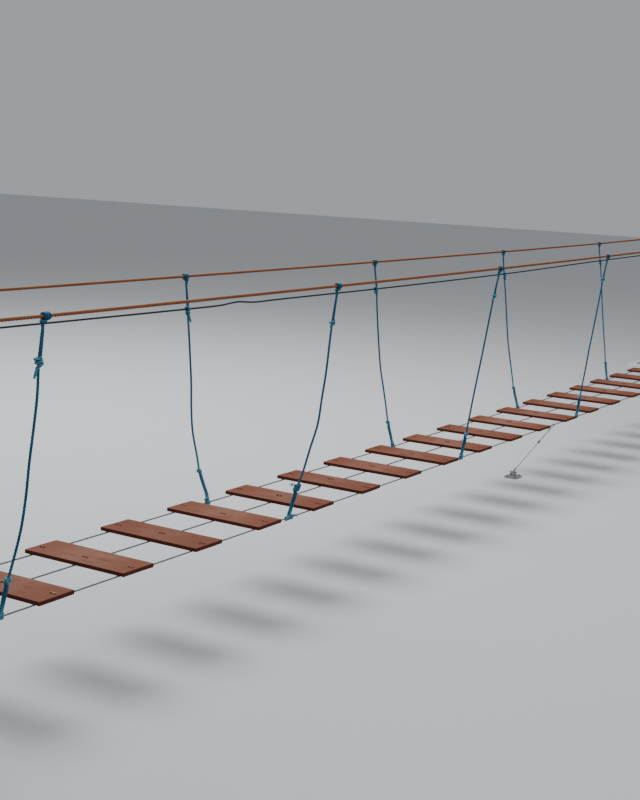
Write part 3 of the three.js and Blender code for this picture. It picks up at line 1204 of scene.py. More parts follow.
CLAMP_FORMS = {
    (5, "right"): ClampForm(0.012, NutLook.OUTER_BARE),
    (8, "right"): ClampForm(0.002),
    (2, "right"): ClampForm(-0.010, NutLook.BARE),
    (17, "right"): ClampForm(-0.006, NutLook.INNER_BARE),
    (6, "middle"): ClampForm(-0.023, NutLook.GRIMY),
    (7, "middle"): ClampForm(0.004, NutLook.GRIMY),
    (8, "middle"): ClampForm(-0.008, NutLook.GRIMY),
    (9, "middle"): ClampForm(-0.002, NutLook.GRIMY),
    (10, "middle"): ClampForm(0.025, NutLook.GRIMY),
    (12, "middle"): ClampForm(-0.001, NutLook.OUTER_BARE),
    (21, "middle"): ClampForm(-0.012, NutLook.BARE),
    (6, "left"): ClampForm(-0.027, NutLook.OUTER_BARE),
    (14, "left"): ClampForm(-0.004, NutLook.INNER_BARE),
    (23, "left"): ClampForm(-0.009, NutLook.OUTER_BARE),
}


@dataclass
class Deck:
    """The planks, each with its own small faults, and the U-bolts that clamp them to the cables."""

    palette: Palette
    random_seed: int = 11
    rounding: float = 0.0016
    across_steps: int = 6
    length_steps: int = 16
    cup: float = 0.0009
    twist: float = 0.0014
    end_scatter: float = 0.0015
    seed_range: tuple[float, float] = (0.0, 50.0)
    tone_range: tuple[float, float] = (0.0, 0.35)
    clamp_shifts: tuple[float, float] = (-0.016, 0.004)
    bolt_spread: float = 0.0095
    bolt_rod: float = 0.0028
    bolt_stand: float = 0.0042
    bolt_scatter: tuple[float, float] = (-0.002, 0.003)
    bolt_depth: float = 0.85
    washer: Washer = Washer(0.0076, 0.0078, 0.0006, 0.0014, 16)
    nut_width: float = 0.0105
    nut_height: float = 0.0030

    def build(self) -> None:
        """Makes every plank and the clamps of each cable."""
        rng = random.Random(self.random_seed)
        clamps: dict[str, list[Shape]] = {cable: [] for cable in DECK_CABLES}
        for number in range(1, BRIDGE.plank_count + 1):
            x = BRIDGE.middle + (number - (BRIDGE.plank_count + 1) / 2) * BRIDGE.plank_pitch
            slope = math.atan(BRIDGE.deck_slope(x))
            top = BRIDGE.plank_top(x)
            place = Matrix.Translation((x, 0.0, top)) @ Matrix.Rotation(-slope, 4, "Y")
            node = f"plank_{number:02d}"
            board = self._board(rng).moved(place)
            name = f"board_{number:02d}"
            add_piece(name, board, [self.palette.board], [node], BOARD_CREASE)
            for cable, y in DECK_CABLES.items():
                usual = NutLook.GRIMY if cable == "middle" else NutLook.PAINTED
                chance = ClampForm(rng.uniform(*self.clamp_shifts), usual)
                form = CLAMP_FORMS.get((number, cable), chance)
                looks = form.look.value if y <= 0 else form.look.value[::-1]
                clamp = self._clamp(rng, looks)
                clamps[cable].append(clamp.moved(place @ Matrix.Translation((form.shift, y, 0.0))))
        finishes = [self.palette.bolt, self.palette.painted_bolt, self.palette.grimy_bolt]
        for cable, shapes in clamps.items():
            add_piece(f"deck_clamps_{cable}", joined(shapes), finishes, (), BOLT_CREASE)

    def _section(self) -> tuple[Array, Array]:
        """The plank's outline across its length.

        Returns:
            Its points as X and Z, from the top, and 1 for each that lies on a cut edge.
        """
        half, low = BRIDGE.plank_width / 2, -BRIDGE.plank_thickness
        r = self.rounding
        across = np.linspace(-half + r, half - r, self.across_steps + 1)
        corner = math.sqrt(0.5) * r
        points = [(x, 0.0) for x in across]
        points += [(half - r + corner, -r + corner), (half, -r), (half, low + r)]
        points += [(half - r + corner, low + r - corner)]
        points += [(x, low) for x in across[::-1]]
        points += [(-half + r - corner, low + r - corner), (-half, low + r), (-half, -r)]
        points += [(-half + r - corner, -r + corner)]
        outline = np.array(points)
        # Points below the top's rounding get the painted shade of the sides and underside.
        shaded_edge = np.where(outline[:, 1] > -0.5 * r, 0.0, 1.0)
        return outline, shaded_edge

    def _board(self, rng: random.Random) -> Shape:
        """One plank round its own top centre, cupped and twisted a little.

        Args:
            rng: Where its faults come from.

        Returns:
            The plank, with its flat place, its painted shade on the sides and ends, its seed and its tone
            as attributes.
        """
        outline, shaded_edge = self._section()
        half = BRIDGE.plank_length / 2 + rng.uniform(-self.end_scatter, 0.0)
        cup = rng.uniform(-self.cup, self.cup)
        twist = rng.uniform(-self.twist, self.twist)
        skew = rng.uniform(-self.end_scatter, self.end_scatter)
        inner = np.linspace(-half + self.rounding, half - self.rounding, self.length_steps + 1)
        rings = [(-half, self.rounding), *((y, 0.0) for y in inner), (half, self.rounding)]
        points, places, shaded_edges = [], [], []
        for y, inset in rings:
            scale_x = 1 - 2 * inset / BRIDGE.plank_width
            x = outline[:, 0] * scale_x
            middle_z = -BRIDGE.plank_thickness / 2
            z = middle_z + (outline[:, 1] - middle_z) * (1 - 2 * inset / BRIDGE.plank_thickness)
            places.append(np.column_stack([x, np.full_like(x, y), z]))
            bend = cup * (2 * x / BRIDGE.plank_width) ** 2 + twist * x * y / (half * BRIDGE.plank_width)
            points.append(np.column_stack([x, y + skew * x / BRIDGE.plank_width, z + bend - abs(cup)]))
            # The end rings are painted as in shade all round.
            shaded_edges.append(np.ones_like(shaded_edge) if inset else shaded_edge)
        count = len(outline) * len(rings)
        attributes = {
            "board": np.concatenate(places),
            "shaded_edge": np.concatenate(shaded_edges),
            "seed": np.full(count, rng.uniform(*self.seed_range)),
            "tone": np.full(count, rng.uniform(*self.tone_range)),
        }
        faces = [tuple(reversed(face)) for face in ring_faces(len(rings), len(outline))]
        return Shape(np.concatenate(points), faces, attributes)

    def _clamp(self, rng: random.Random, looks: tuple[int, int]) -> Shape:
        """A U-bolt up through the plank, astride its cable, with a nut and a washer on each leg.

        Args:
            rng: Where the small differences between clamps come from.
            looks: Finish numbers of the nuts on the -Y and +Y legs.

        Returns:
            The clamp, with the plank's top at its origin.
        """
        cable_z = -BRIDGE.plank_thickness - BRIDGE.seat - BRIDGE.wire_radius
        top = self.bolt_stand + rng.uniform(*self.bolt_scatter)
        bolt = u_bolt(self.bolt_spread, top, cable_z, self.bolt_depth, self.bolt_rod)
        bolt.finish = max(looks)
        shapes = [bolt]
        for side, look in zip((Side.RIGHT, Side.LEFT), looks):
            y = side.value * self.bolt_spread
            turn = Matrix.Rotation(rng.uniform(0, math.pi / 3), 4, "Z")
            nut_place = Matrix.Translation((0, y, self.washer.height)) @ turn
            nut = hex_nut(self.nut_width, self.nut_height)
            for shape, matrix in ((self.washer.build(), Matrix.Translation((0, y, 0))), (nut, nut_place)):
                shape.finish = look
                shapes.append(shape.moved(matrix))
        return joined(shapes)


# Wires


@dataclass(frozen=True)
class WireClip:
    """A clip that holds two wires together: a saddle, a U-bolt round the pair and two nuts."""

    half_pair: float = 0.0083
    leg: float = 0.0092
    rod_radius: float = 0.0024
    bend_height: float = 0.004
    bend_depth: float = 0.62
    saddle_length: float = 0.016
    saddle_margin: float = 0.010
    saddle_sink: float = 0.0015
    saddle_rise: float = 0.005
    chamfer: float = 0.0018
    thread: float = 0.009
    nut_width: float = 0.009
    nut_height: float = 0.0045

    def build(self) -> Shape:
        """Makes the clip along +X, round two wires that lie one over the other, its saddle up.

        Returns:
            The clip, with the middle of the pair at its origin.
        """
        low, high = self.half_pair - self.saddle_sink, self.half_pair + self.saddle_rise
        saddle = block(self.saddle_length, 2 * self.leg + self.saddle_margin, high - low, self.chamfer)
        bend = -self.half_pair + self.bend_height
        shapes = [
            u_bolt(self.leg, high + self.thread, bend, self.bend_depth, self.rod_radius),
            saddle.moved(Matrix.Translation((0, 0, (low + high) / 2))),
        ]
        for side in Side:
            nut = hex_nut(self.nut_width, self.nut_height)
            shapes.append(nut.moved(Matrix.Translation((0, side.value * self.leg, high))))
        return joined(shapes)

    def place(self, centre: Array, sideways: Array) -> Matrix:
        """Where a clip goes on a pair of wires.

        Args:
            centre: The middle between the two wires.
            sideways: From the run to the tail beside it. The saddle lies on the run.

        Returns:
            The matrix that moves the clip there.
        """
        up, along = Vector(-sideways), Vector((1, 0, 0))
        turn = Matrix((along, up.cross(along), up)).transposed().to_4x4()
        return Matrix.Translation(Vector(centre)) @ turn


@dataclass
class Wires:
    """The three deck cables and the safety line, with the clips that close their ends."""

    palette: Palette
    tail_tip: float = 0.385
    tail_meets: float = 0.255
    tail_spacing: float = 0.0086
    settling: tuple[float, float] = (0.02, 0.1)
    turn_points: int = 30
    clip: WireClip = WireClip()
    clip_places: tuple[float, ...] = (0.268, 0.316, 0.364)

    def build(self) -> None:
        """Makes every wire and the clips of each end."""
        clips: dict[End, list[Shape]] = {end: [] for end in End}
        down, left = vec(0, 0, -1), vec(0, 1, 0)
        for name, y in DECK_CABLES.items():
            run = self._deck_run(y)
            self._wire(f"deck_cable_{name}", run, down, self._beam_axis(y), [], clips)
        bends = SAFETY_LINE.sheathed()
        self._wire("safety_cable_left", SAFETY_LINE.point, left, self._post_axis, bends, clips)
        sheath = SHEATH_LAY.sweep(smooth_line(bends, SHEATH_LAY.spacing))
        add_piece("safety_cable_left_sheath", sheath, [self.palette.sheath])
        for end, shapes in clips.items():
            name = f"{end.label}_wire_clips"
            add_piece(name, joined(shapes), [self.palette.bolt], (), BOLT_CREASE)

    def _deck_run(self, y: float) -> LineAt:
        """The line of a deck cable."""
        return lambda x: vec(x, y, BRIDGE.cable_height(x))

    def _beam_axis(self, y: float) -> Callable[[End], Array]:
        """The point of either cross beam under a deck cable."""
        return lambda end: vec(end_place(end), y, BRIDGE.beam_height)

    def _post_axis(self, end: End) -> Array:
        """The point of either left post that the safety line turns round."""
        return vec(end_place(end), BRIDGE.post_offset, SAFETY_LINE.point(end_place(end))[2])

    def _wire(
        self,
        name: str,
        run: LineAt,
        sideways: Array,
        axis: Callable[[End], Array],
        bends: list[Array],
        clips: dict[End, list[Shape]],
    ) -> None:
        """Makes one wire and adds its clips to those of each end.

        Args:
            name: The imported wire's name.
            run: The wire's axis at a place along the bridge.
            sideways: From the run to the tails that lie against it.
            axis: The point that the wire turns round at each end.
            bends: The points between the ends, or none where the run is read evenly.
            clips: The clips so far, which this wire's are added to.
        """
        ends = {}
        for end in End:
            here = lambda reach, end=end: run(end_place(end) + end.value * reach)
            ends[end] = self._end_line(end, here, sideways, axis(end))
            for reach in self.clip_places:
                centre = here(reach) + sideways * (self.tail_spacing / 2)
                clips[end].append(self.clip.build().moved(self.clip.place(centre, sideways)))
        between = bends or [run(x) for x in BRIDGE.readings]
        close = [run(reach) for reach in self.settling]
        far = [run(BRIDGE.span - reach) for reach in reversed(self.settling)]
        route = [*ends[End.START], *close, *between, *far, *reversed(ends[End.END])]
        strands = WIRE_LAY.sweep(smooth_line(route, WIRE_LAY.spacing))
        add_piece(f"{name}_strands", strands, [self.palette.wire], [name])

    def _end_line(
        self, end: End, run: LineAt, sideways: Array, axis: Array
    ) -> list[Array]:
        """The line of a wire from its tail, round a tube and up to where it sets off along its run.

        Args:
            end: The end of the bridge.
            run: The wire's axis at a distance from that end.
            sideways: From the run to the tail that lies against it.
            axis: The point on the tube's axis that the wire turns round.

        Returns:
            Points from the tail's tip to the start of the run.
        """
        meets, beside = self.tail_meets, sideways * self.tail_spacing
        toward = unit(run(0.0) - axis)
        away = vec(-end.value, 0, 0)
        rise = float(np.dot(run(meets) + beside - axis, toward))
        leaving = math.acos(BRIDGE.wire_wrap / math.hypot(meets, rise))
        turned = 2 * math.pi - math.atan2(meets, rise) - leaving
        tail = [run(reach) + beside for reach in np.linspace(self.tail_tip, meets, 4)]
        turn = [
            axis + BRIDGE.wire_wrap * (toward * math.cos(angle) + away * math.sin(angle))
            for angle in np.linspace(turned, 0.0, self.turn_points)
        ]
        return [*tail, *turn[:-1]]


# Ropes


@dataclass
class HandRopes:
    """The two hand ropes, wound round the posts."""

    palette: Palette
    turns: float = 2.25
    turn_pitch: float = 0.0162
    points_per_turn: int = 24

    def build(self) -> None:
        """Makes both ropes."""
        for side, line in HAND_ROPE_LINES.items():
            ends = {end: self._post_turns(line, end) for end in End}
            run = [line.point(x) for x in BRIDGE.readings]
            route = smooth_line([*ends[End.START], *run, *reversed(ends[End.END])], HAND_ROPE_LAY.spacing)
            name = f"hand_rope_{side.label}"
            shape = HAND_ROPE_LAY.sweep(route)
            add_piece(f"{name}_strands", shape, [self.palette.hand_rope], [name])

    def _post_turns(self, line: HandRopeLine, end: End) -> list[Array]:
        """The rope's turns round a post.

        Args:
            line: The rope's own line.
            end: The end of the bridge where the post stands.

        Returns:
            Points from the rope's free tip up to where the run leaves.
        """
        points = []
        radius = BRIDGE.rope_wrap
        height = BRIDGE.deck_height + line.post_heights[end]
        for turned in np.linspace(self.turns, 0.0, int(self.turns * self.points_per_turn)):
            angle = 2 * math.pi * turned
            x = end_place(end) - end.value * radius * math.sin(angle)
            y = line.side.value * (BRIDGE.post_offset - radius * math.cos(angle))
            points.append(vec(x, y, height - self.turn_pitch * turned))
        return points


@dataclass(frozen=True)
class HangerForm:
    """How one hanger hangs and is tied. Shifts run along the bridge, in metres.

    Attributes:
        top_shift: From the station to the top hitch.
        foot_shift: From the station to the foot.
        exit_shift: From the top to where the strand leaves the hitch.
        bows: How far the rope stands out from a straight line, at the upper knot, at each of the
            BOW_HEIGHTS and at the lower knot.
        hitch_shift: From the top to the middle of the hitch's turns.
        knot_drop: From the hand rope down to the upper knot.
        knot_radius: Radius of the upper knot's turns.
        wraps: How many turns the upper knot has.
        tail: Length of the upper knot's tail.
        foot_spread: Width of the turns round the cable, in rope diameters.
        foot_slide: From the foot to where its turns have slid.
        lower_rise: How much higher than usual the lower knot sits.
        lower_knot: Size of the lower knot, as a share of the usual one.
        foot_tail: Length of the spare end at the foot, or 0 without one.
        frayed: Whether a frayed end sticks out of the lower knot.
    """

    top_shift: float
    foot_shift: float
    exit_shift: float
    bows: tuple[float, ...]
    hitch_shift: float = 0.0
    knot_drop: float = 0.165
    knot_radius: float = 0.0102
    wraps: float = 1.5
    tail: float = 0.020
    foot_spread: float = 0.8
    foot_slide: float = 0.0
    lower_rise: float = 0.0
    lower_knot: float = 1.0
    foot_tail: float = 0.0
    frayed: bool = False


BOW_HEIGHTS = (0.75, 0.64, 0.53, 0.42, 0.31, 0.20)
HANGER_FORMS = {
    Side.RIGHT: (
        HangerForm(
            -0.014, -0.026, -0.011, (0.0, 0.017, 0.024, 0.0285, 0.037, 0.0375, 0.024, 0.013),
            knot_drop=0.163, knot_radius=0.0115, wraps=2.3, tail=0.045,
        ),
        HangerForm(
            0.030, -0.040, -0.002, (0.010, 0.022, 0.036, 0.044, 0.052, 0.039, 0.027, 0.014),
            knot_drop=0.176, knot_radius=0.0107, tail=0.012, foot_spread=3.0, foot_slide=0.007,
            lower_rise=0.0095, lower_knot=1.45, foot_tail=0.046, frayed=True,
        ),
        HangerForm(-0.015, -0.050, -0.009, (-0.006, -0.005, -0.003, -0.002, -0.002, -0.001, 0.001, 0.003)),
        HangerForm(-0.050, -0.050, -0.003, (-0.005, -0.002, -0.002, -0.002, -0.003, -0.001, -0.001, 0.0)),
        HangerForm(0.000, -0.040, -0.007, (0.002, 0.006, 0.010, 0.012, 0.014, 0.013, 0.009, 0.006)),
    ),
    Side.LEFT: (
        HangerForm(0.005, -0.035, -0.004, (0.009, 0.014, 0.019, 0.024, 0.030, 0.031, 0.025, 0.022)),
        HangerForm(
            0.018, -0.040, -0.004, (0.015, 0.021, 0.029, 0.038, 0.053, 0.061, 0.049, 0.044),
            hitch_shift=-0.010, tail=0.042, foot_slide=-0.013,
        ),
        HangerForm(-0.020, -0.043, -0.004, (0.008, 0.018, 0.026, 0.032, 0.035, 0.028, 0.022, 0.021)),
        HangerForm(-0.045, -0.021, -0.006, (0.014, 0.016, 0.021, 0.027, 0.031, 0.028, 0.023, 0.021)),
        HangerForm(0.000, -0.005, -0.006, (0.003, 0.001, 0.004, 0.006, 0.006, 0.006, 0.005, 0.006)),
    ),
}


@dataclass(frozen=True)
class Wrap:
    """A rope's way round a line, as (turns made, place along, lift off it) in rope diameters.

    Turns start at the bridge's outer side and go up over the line.
    """

    stops: tuple[tuple[float, float, float], ...]
    clearance: float = 1.06
    climb_weight: float = 0.2

    def path(
        self, place: Array, way: Array, out: Array, core: float, rope: float
    ) -> list[Array]:
        """Points of the rope's axis.

        Args:
            place: The point of the line where the wrap has its own origin.
            way: The direction of the line.
            out: The outer side of the bridge.
            core: Radius of what is wrapped.
            rope: Radius of the rope that wraps it.

        Returns:
            Points in even steps of turn and climb.
        """
        first = unit(out - way * np.dot(out, way))
        second = np.cross(way, first)
        if second[2] < 0:
            second = -second
        turns, along, lift = (np.array(column) for column in zip(*self.stops))
        moves = np.abs(np.diff(turns)) + self.climb_weight * np.abs(np.diff(along))
        steps = np.linspace(0.0, 1.0, int(moves.sum() * POINTS_PER_TURN) + 2)
        shares = np.concatenate([[0.0], np.cumsum(moves)]) / moves.sum()
        points = []
        for step in steps:
            angle = 2 * math.pi * np.interp(step, shares, turns)
            reach = core + rope * (self.clearance + 2 * np.interp(step, shares, lift))
            swing = first * math.cos(angle) + second * math.sin(angle)
            points.append(place + way * (2 * rope * np.interp(step, shares, along)) + swing * reach)
        return points


TOP_HITCH = (
    (-0.40, 1.0, -0.35), (-0.10, 0.98, 0.0), (0.55, 0.92, 0.0), (0.95, 0.05, 0.0), (1.55, -0.02, 0.0),
    (1.95, -0.88, 0.0), (2.40, -0.94, 0.0),
)
WIRE_TURNS = Wrap(((-0.25, -0.45, -0.3), (0.1, -0.45, 0.0), (1.0, 0.45, 0.0), (1.4, 0.5, -0.3)))

# Where the rope's end lies beside the strand: the share of the way down, and degrees round it
RETURNED_WAYS = ((0.22, 35.0), (0.45, 26.0), (0.7, 18.0), (1.0, 12.0))

# How far up a hanger its paleness changes, and how pale it is drawn there: partly bleaching, partly
# painted light on the lit knots at the foot and on the lit lower left hangers
FADE_AND_LIGHT_RISES = (0.03, 0.08, 0.35, 0.8)
FADE_AND_LIGHT_SHARES = {Side.RIGHT: (1.0, 0.15, 0.1, 0.1), Side.LEFT: (1.0, 0.9, 0.3, 0.15)}


def cut_end(t: float) -> float:
    """Thickness along a rope's tail, which narrows to its cut tip."""
    return min(1.0, 3.2 - 2.4 * t)


@dataclass(frozen=True)
class Turns:
    """Even turns of a rope round a straight strand."""

    radius: float
    count: float
    pitch: float

    def path(self, place: Array, way: Array, out: Array, start: float) -> list[Array]:
        """Points of the turns' axis.

        Args:
            place: The middle of the turns.
            way: The direction in which they climb.
            out: The direction from which angles count.
            start: The angle at which they start, in radians.

        Returns:
            Points in even steps of turn.
        """
        first = unit(out - way * np.dot(out, way))
        second = np.cross(way, first)
        points = []
        for turned in np.linspace(0.0, self.count, int(self.count * POINTS_PER_TURN) + 1):
            angle = start + 2 * math.pi * turned
            climb = (turned - self.count / 2) * self.pitch
            swing = first * math.cos(angle) + second * math.sin(angle)
            points.append(place + way * climb + swing * self.radius)
        return points


@dataclass(frozen=True)
class UpperKnot:
    """The slanted turns round a strand under its hitch."""

    turns: Turns
    lean: float
    drop: float = 0.0
    core: float = 0.008


LEFT_KNOT = UpperKnot(Turns(0.0088, 1.35, 0.0095), 0.42, 0.019)


@dataclass(frozen=True)
class FrayedEnd:
    """A rope's end that is unlaid into pale yarns."""

    stub: float = 0.015
    stub_middle: float = 0.008
    yarn: Lay = Lay(0.0017, 3, 0.012, 0.8, points_per_strand=2)
    yarn_count: int = 34
    yarn_spacing: float = 0.004
    spread: float = 0.7
    root_spread: float = 0.3
    root_share: float = 0.4
    sunk: float = 0.004
    thinning: float = 0.6
    lengths: tuple[float, float] = (0.015, 0.030)
    hang: tuple[float, float] = (0.0, 0.006)

    def build(self, knot: Array, way: Array, fading: float, rng: random.Random) -> Shape:
        """Makes the stub of rope and its yarns.

        Args:
            knot: The middle of the knot that the end comes out of.
            way: The direction in which it sticks out.
            fading: How pale the stub is drawn, partly bleaching and partly painted light.
            rng: Where the yarns' differences come from.

        Returns:
            The end, its yarns with the frayed finish.
        """
        root = knot + way * self.stub
        line = smooth_line([knot, knot + way * self.stub_middle, root], HANGER_LAY.spacing)
        stub = HANGER_LAY.sweep(line)
        # The stub is drawn pale: partly bleaching, partly painted light.
        stub.attributes["weathered"] = np.full(len(stub.points), fading)
        yarns = []
        for _ in range(self.yarn_count):
            spread = vec(rng.uniform(-1, 1), rng.uniform(-1, 1), rng.uniform(-1, 1)) * self.spread
            length = rng.uniform(*self.lengths)
            tip = root + unit(way + spread) * length - vec(0, 0, rng.uniform(*self.hang))
            middle = root + unit(way + spread * self.root_spread) * length * self.root_share
            line = smooth_line([root - way * self.sunk, middle, tip], self.yarn_spacing)
            yarn = self.yarn.sweep(line, lambda t: 1 - self.thinning * t)
            yarn.finish = 1
            yarns.append(yarn)
        return joined([stub, joined(yarns)])


@dataclass
class Hanger:
    """One rope hanger, tied from its hand rope down to the deck cable under it."""

    palette: Palette
    side: Side
    number: int
    form: HangerForm
    lower_knot_height: float = 0.1285
    lower_knot_half: float = 0.012
    lower_turns: Turns = Turns(0.0084, 1.9, 0.0085)
    hitch_collar: Turns = Turns(0.0088, 1.0, 0.006)
    hitch_collar_drop: float = 0.009
    foot_collar: Turns = Turns(0.0104, 1.0, 0.008)
    foot_collar_rise: float = 0.018
    knot_pitch_share: float = 1.2
    right_lean: float = -0.38
    returned_start: tuple[float, float, float] = (0.010, 0.0, -0.006)
    returned_gap: float = 0.0092
    leg_share: float = 0.85
    foot_entry_rise: float = 0.026
    foot_tail_rise: float = 0.010
    foot_tail_droop: float = 0.004
    foot_tail_way: tuple[float, float, float] = (0.75, 0.6, 0.1)
    foot_margin: float = 0.45
    foot_turn: float = 0.9
    foot_lead: float = 0.05
    frayed_way: tuple[float, float, float] = (-0.30, -0.85, 0.45)
    frayed_seed: int = 17
    flattened: float = 0.72
    knot_fade_and_light: float = 1.3
    knot_reach: float = 0.017
    foot_reach: float = 0.036
    returned_fading: float = 0.3

    def __post_init__(self) -> None:
        """Finds the top, the foot and the outer side of the hanger."""
        self._station = BRIDGE.stations[self.number - 1]
        self._line = HAND_ROPE_LINES[self.side]
        self._top = self._line.point(self._station + self.form.top_shift)
        foot_x = self._station + self.form.foot_shift
        self._foot = vec(foot_x, self.side.value * BRIDGE.cable_offset, BRIDGE.cable_height(foot_x))
        self._out = vec(0, self.side.value, 0)

    def build(self) -> None:
        """Makes the hanger as one piece."""
        heights = [lerp(self._foot[2], self._top[2], share) for share in BOW_HEIGHTS]
        slack = [self._bowed(height, bow) for height, bow in zip(heights, self.form.bows[1:])]
        upper = self._bowed(self._top[2] - self.form.knot_drop, self.form.bows[0])
        lower_height = BRIDGE.plank_top(self._station) + self.lower_knot_height + self.form.lower_rise
        lower = self._bowed(lower_height, self.form.bows[-1])
        strand = self._strand(upper, slack, lower)
        shapes = [strand, self._returned(upper), *self._upper_knot(upper, unit(slack[0] - upper))]
        if self.form.foot_tail:
            shapes.append(self._foot_end())
        if self.form.frayed:
            along, inward, up = self.frayed_way
            way = unit(vec(along, self.side.value * inward, up))
            rng = random.Random(self.frayed_seed)
            shapes.append(FrayedEnd().build(lower, way, self.knot_fade_and_light, rng))
        name = f"hanger_{self.side.label}_{self.number}"
        finishes = [self.palette.hanger, self.palette.frayed]
        add_piece(f"{name}_rope", joined(shapes), finishes, [name])

    def _strand(self, upper: Array, slack: list[Array], lower: Array) -> Shape:
        """The rope from the top hitch down to the foot and back up into the lower knot.

        Args:
            upper: The middle of the upper knot.
            slack: Points of the slack between the knots, from the top.
            lower: The middle of the lower knot.

        Returns:
            The rope, pressed flat where it is wound round the hand rope and the cable.
        """
        straight = [lerp(self._exit(), upper, share) for share in (0.12, 0.4, 0.75)]
        up = unit(slack[-1] - lower)
        size, usual = self.form.lower_knot, self.lower_turns
        half = up * self.lower_knot_half * size
        route = [*self._top_turns(), *straight, upper, *slack, lower + half]
        route += [lower - half, *self._foot_loop(lower)]
        turns = Turns(usual.radius * size, usual.count * size, usual.pitch * size)
        knot = turns.path(lower, up, self._out, math.pi)
        strand = HANGER_LAY.sweep(smooth_line([*route, *knot, lower], HANGER_LAY.spacing))
        strand.points = self._pressed(strand.points, self._top, self._way(), BRIDGE.hand_rope_radius)
        strand.points = self._pressed(strand.points, self._foot, self._cable_way(), BRIDGE.wire_radius)
        # Paleness drawn on the strand: partly bleaching, partly painted light.
        strand.attributes["weathered"] = self._weathered_and_lit(strand.points, lower)
        return strand

    def _weathered_and_lit(self, points: Array, lower: Array) -> Array:
        """How pale the strand is drawn, partly bleaching and partly painted light: most in the lower knot
        and the foot, more on the left.

        Args:
            points: The points of the strand's surface.
            lower: The middle of the lower knot.

        Returns:
            One number for each point, from 0 for a fresh rope.
        """
        rise = (points[:, 2] - self._foot[2]) / (self._top[2] - self._foot[2])
        faded = np.interp(rise, FADE_AND_LIGHT_RISES, FADE_AND_LIGHT_SHARES[self.side])
        for centre, reach in ((lower, self.knot_reach), (self._foot, self.foot_reach)):
            near = np.linalg.norm(points - centre, axis=1) < reach
            faded = np.where(near, self.knot_fade_and_light, faded)
        return faded

    def _bowed(self, height: float, bow: float) -> Array:
        """The slack rope's axis at a height, bowed out sideways from a straight line."""
        along = (self._top[2] - height) / (self._top[2] - self._foot[2])
        return self._top + (self._foot - self._top) * along + self._out * bow

    def _top_turns(self) -> list[Array]:
        """The turns round the hand rope.

        Returns:
            Points from the tucked tip to where the strand drops away.
        """
        shift = self.form.hitch_shift
        last = (2.60, (self.form.exit_shift - shift) / (2 * BRIDGE.hanger_radius), 0.0)
        place, way = self._top + self._way() * shift, self._way()
        wrap = Wrap((*TOP_HITCH, last))
        return wrap.path(place, way, self._out, BRIDGE.hand_rope_radius, BRIDGE.hanger_radius)

    def _exit(self) -> Array:
        """The place under the hand rope where the strand leaves the top hitch."""
        return self._top + vec(self.form.exit_shift, 0, -BRIDGE.hand_rope_radius)

    def _way(self) -> Array:
        """The direction of the hand rope at the top hitch."""
        return way_along(self._line.point, self._top[0])

    def _cable_way(self) -> Array:
        """The direction of the deck cable at the foot."""
        return unit(vec(1, 0, BRIDGE.deck_slope(self._foot[0])))

    def _pressed(self, points: Array, place: Array, way: Array, core: float) -> Array:
        """Moves the points of turns closer to what they are wound round, so they look pulled flat.

        Args:
            points: The points of the rope's surface.
            place: A point on the axis of what is wrapped.
            way: The direction of that axis.
            core: The radius of what is wrapped.

        Returns:
            The moved points.
        """
        full = core + 2 * BRIDGE.hanger_radius
        flat = lerp(core, full, self.flattened)
        away = points - place
        away -= np.outer(away @ way, way)
        reach = np.linalg.norm(away, axis=1)
        pressed = np.interp(reach, [0, core, full, 3 * full], [0, core, flat, 3 * full])
        pressed = np.where(reach < 3 * full, pressed, reach)
        return points + away * (pressed / reach - 1)[:, None]

    def _returned(self, upper: Array) -> Shape:
        """The rope's end: from the top hitch once round the strand and down it to the upper knot.

        Args:
            upper: The middle of the upper knot.

        Returns:
            The strand that lies beside the main one, drawn a little paler.
        """
        under = self._exit() - vec(0, 0, self.hitch_collar_drop)
        start = self._exit() + vec(*self.returned_start)
        collar = self.hitch_collar.path(under, unit(upper - under), self._out, math.pi)
        beside = []
        for share, degrees in RETURNED_WAYS:
            turn = math.radians(degrees)
            gap = vec(math.cos(turn), math.sin(turn), 0) * self.returned_gap
            beside.append(lerp(under, upper, share) + gap)
        shape = HANGER_LAY.sweep(smooth_line([start, *collar, *beside], HANGER_LAY.spacing))
        shape.attributes["weathered"] = np.full(len(shape.points), self.returned_fading)
        return shape

    def _upper_knot(self, upper: Array, slope: Array) -> list[Shape]:
        """Slanted turns round the strand with a short tail, tied onto the safety line on the left.

        Args:
            upper: The middle of the knot on the strand.
            slope: The direction of the strand below it.

        Returns:
            The knot, and on the left the turns round the safety line before it.
        """
        shapes = []
        radius = self.form.knot_radius
        knot = UpperKnot(Turns(radius, self.form.wraps, radius * self.knot_pitch_share), self.right_lean)
        place = upper
        if self.side is Side.LEFT:
            wire = SAFETY_LINE.point(upper[0])
            way = way_along(SAFETY_LINE.point, wire[0])
            hold = WIRE_TURNS.path(wire, way, self._out, SAFETY_LINE.sheath_radius, BRIDGE.hanger_radius)
            shapes.append(HANGER_LAY.sweep(smooth_line(hold, HANGER_LAY.spacing)))
            knot, place = LEFT_KNOT, wire + slope * LEFT_KNOT.drop
        slant = unit(slope - vec(knot.lean, 0, 0))
        turns = knot.turns.path(place, slant, self._out, math.pi * (0.5 - 2 * knot.turns.count))
        tail_way = unit(slope + vec(knot.lean * 0.95, 0, 0))
        tail = [turns[-1] + tail_way * self.form.tail * share for share in (0.35, 0.65, 1.0)]
        line = smooth_line([place - slant * knot.core, *turns, *tail], HANGER_LAY.spacing)
        shapes.append(HANGER_LAY.sweep(line, cut_end))
        for shape in shapes:
            # The knot is drawn pale: partly bleaching, partly painted light on its upper turns.
            shape.attributes["weathered"] = np.full(len(shape.points), self.knot_fade_and_light)
        return shapes

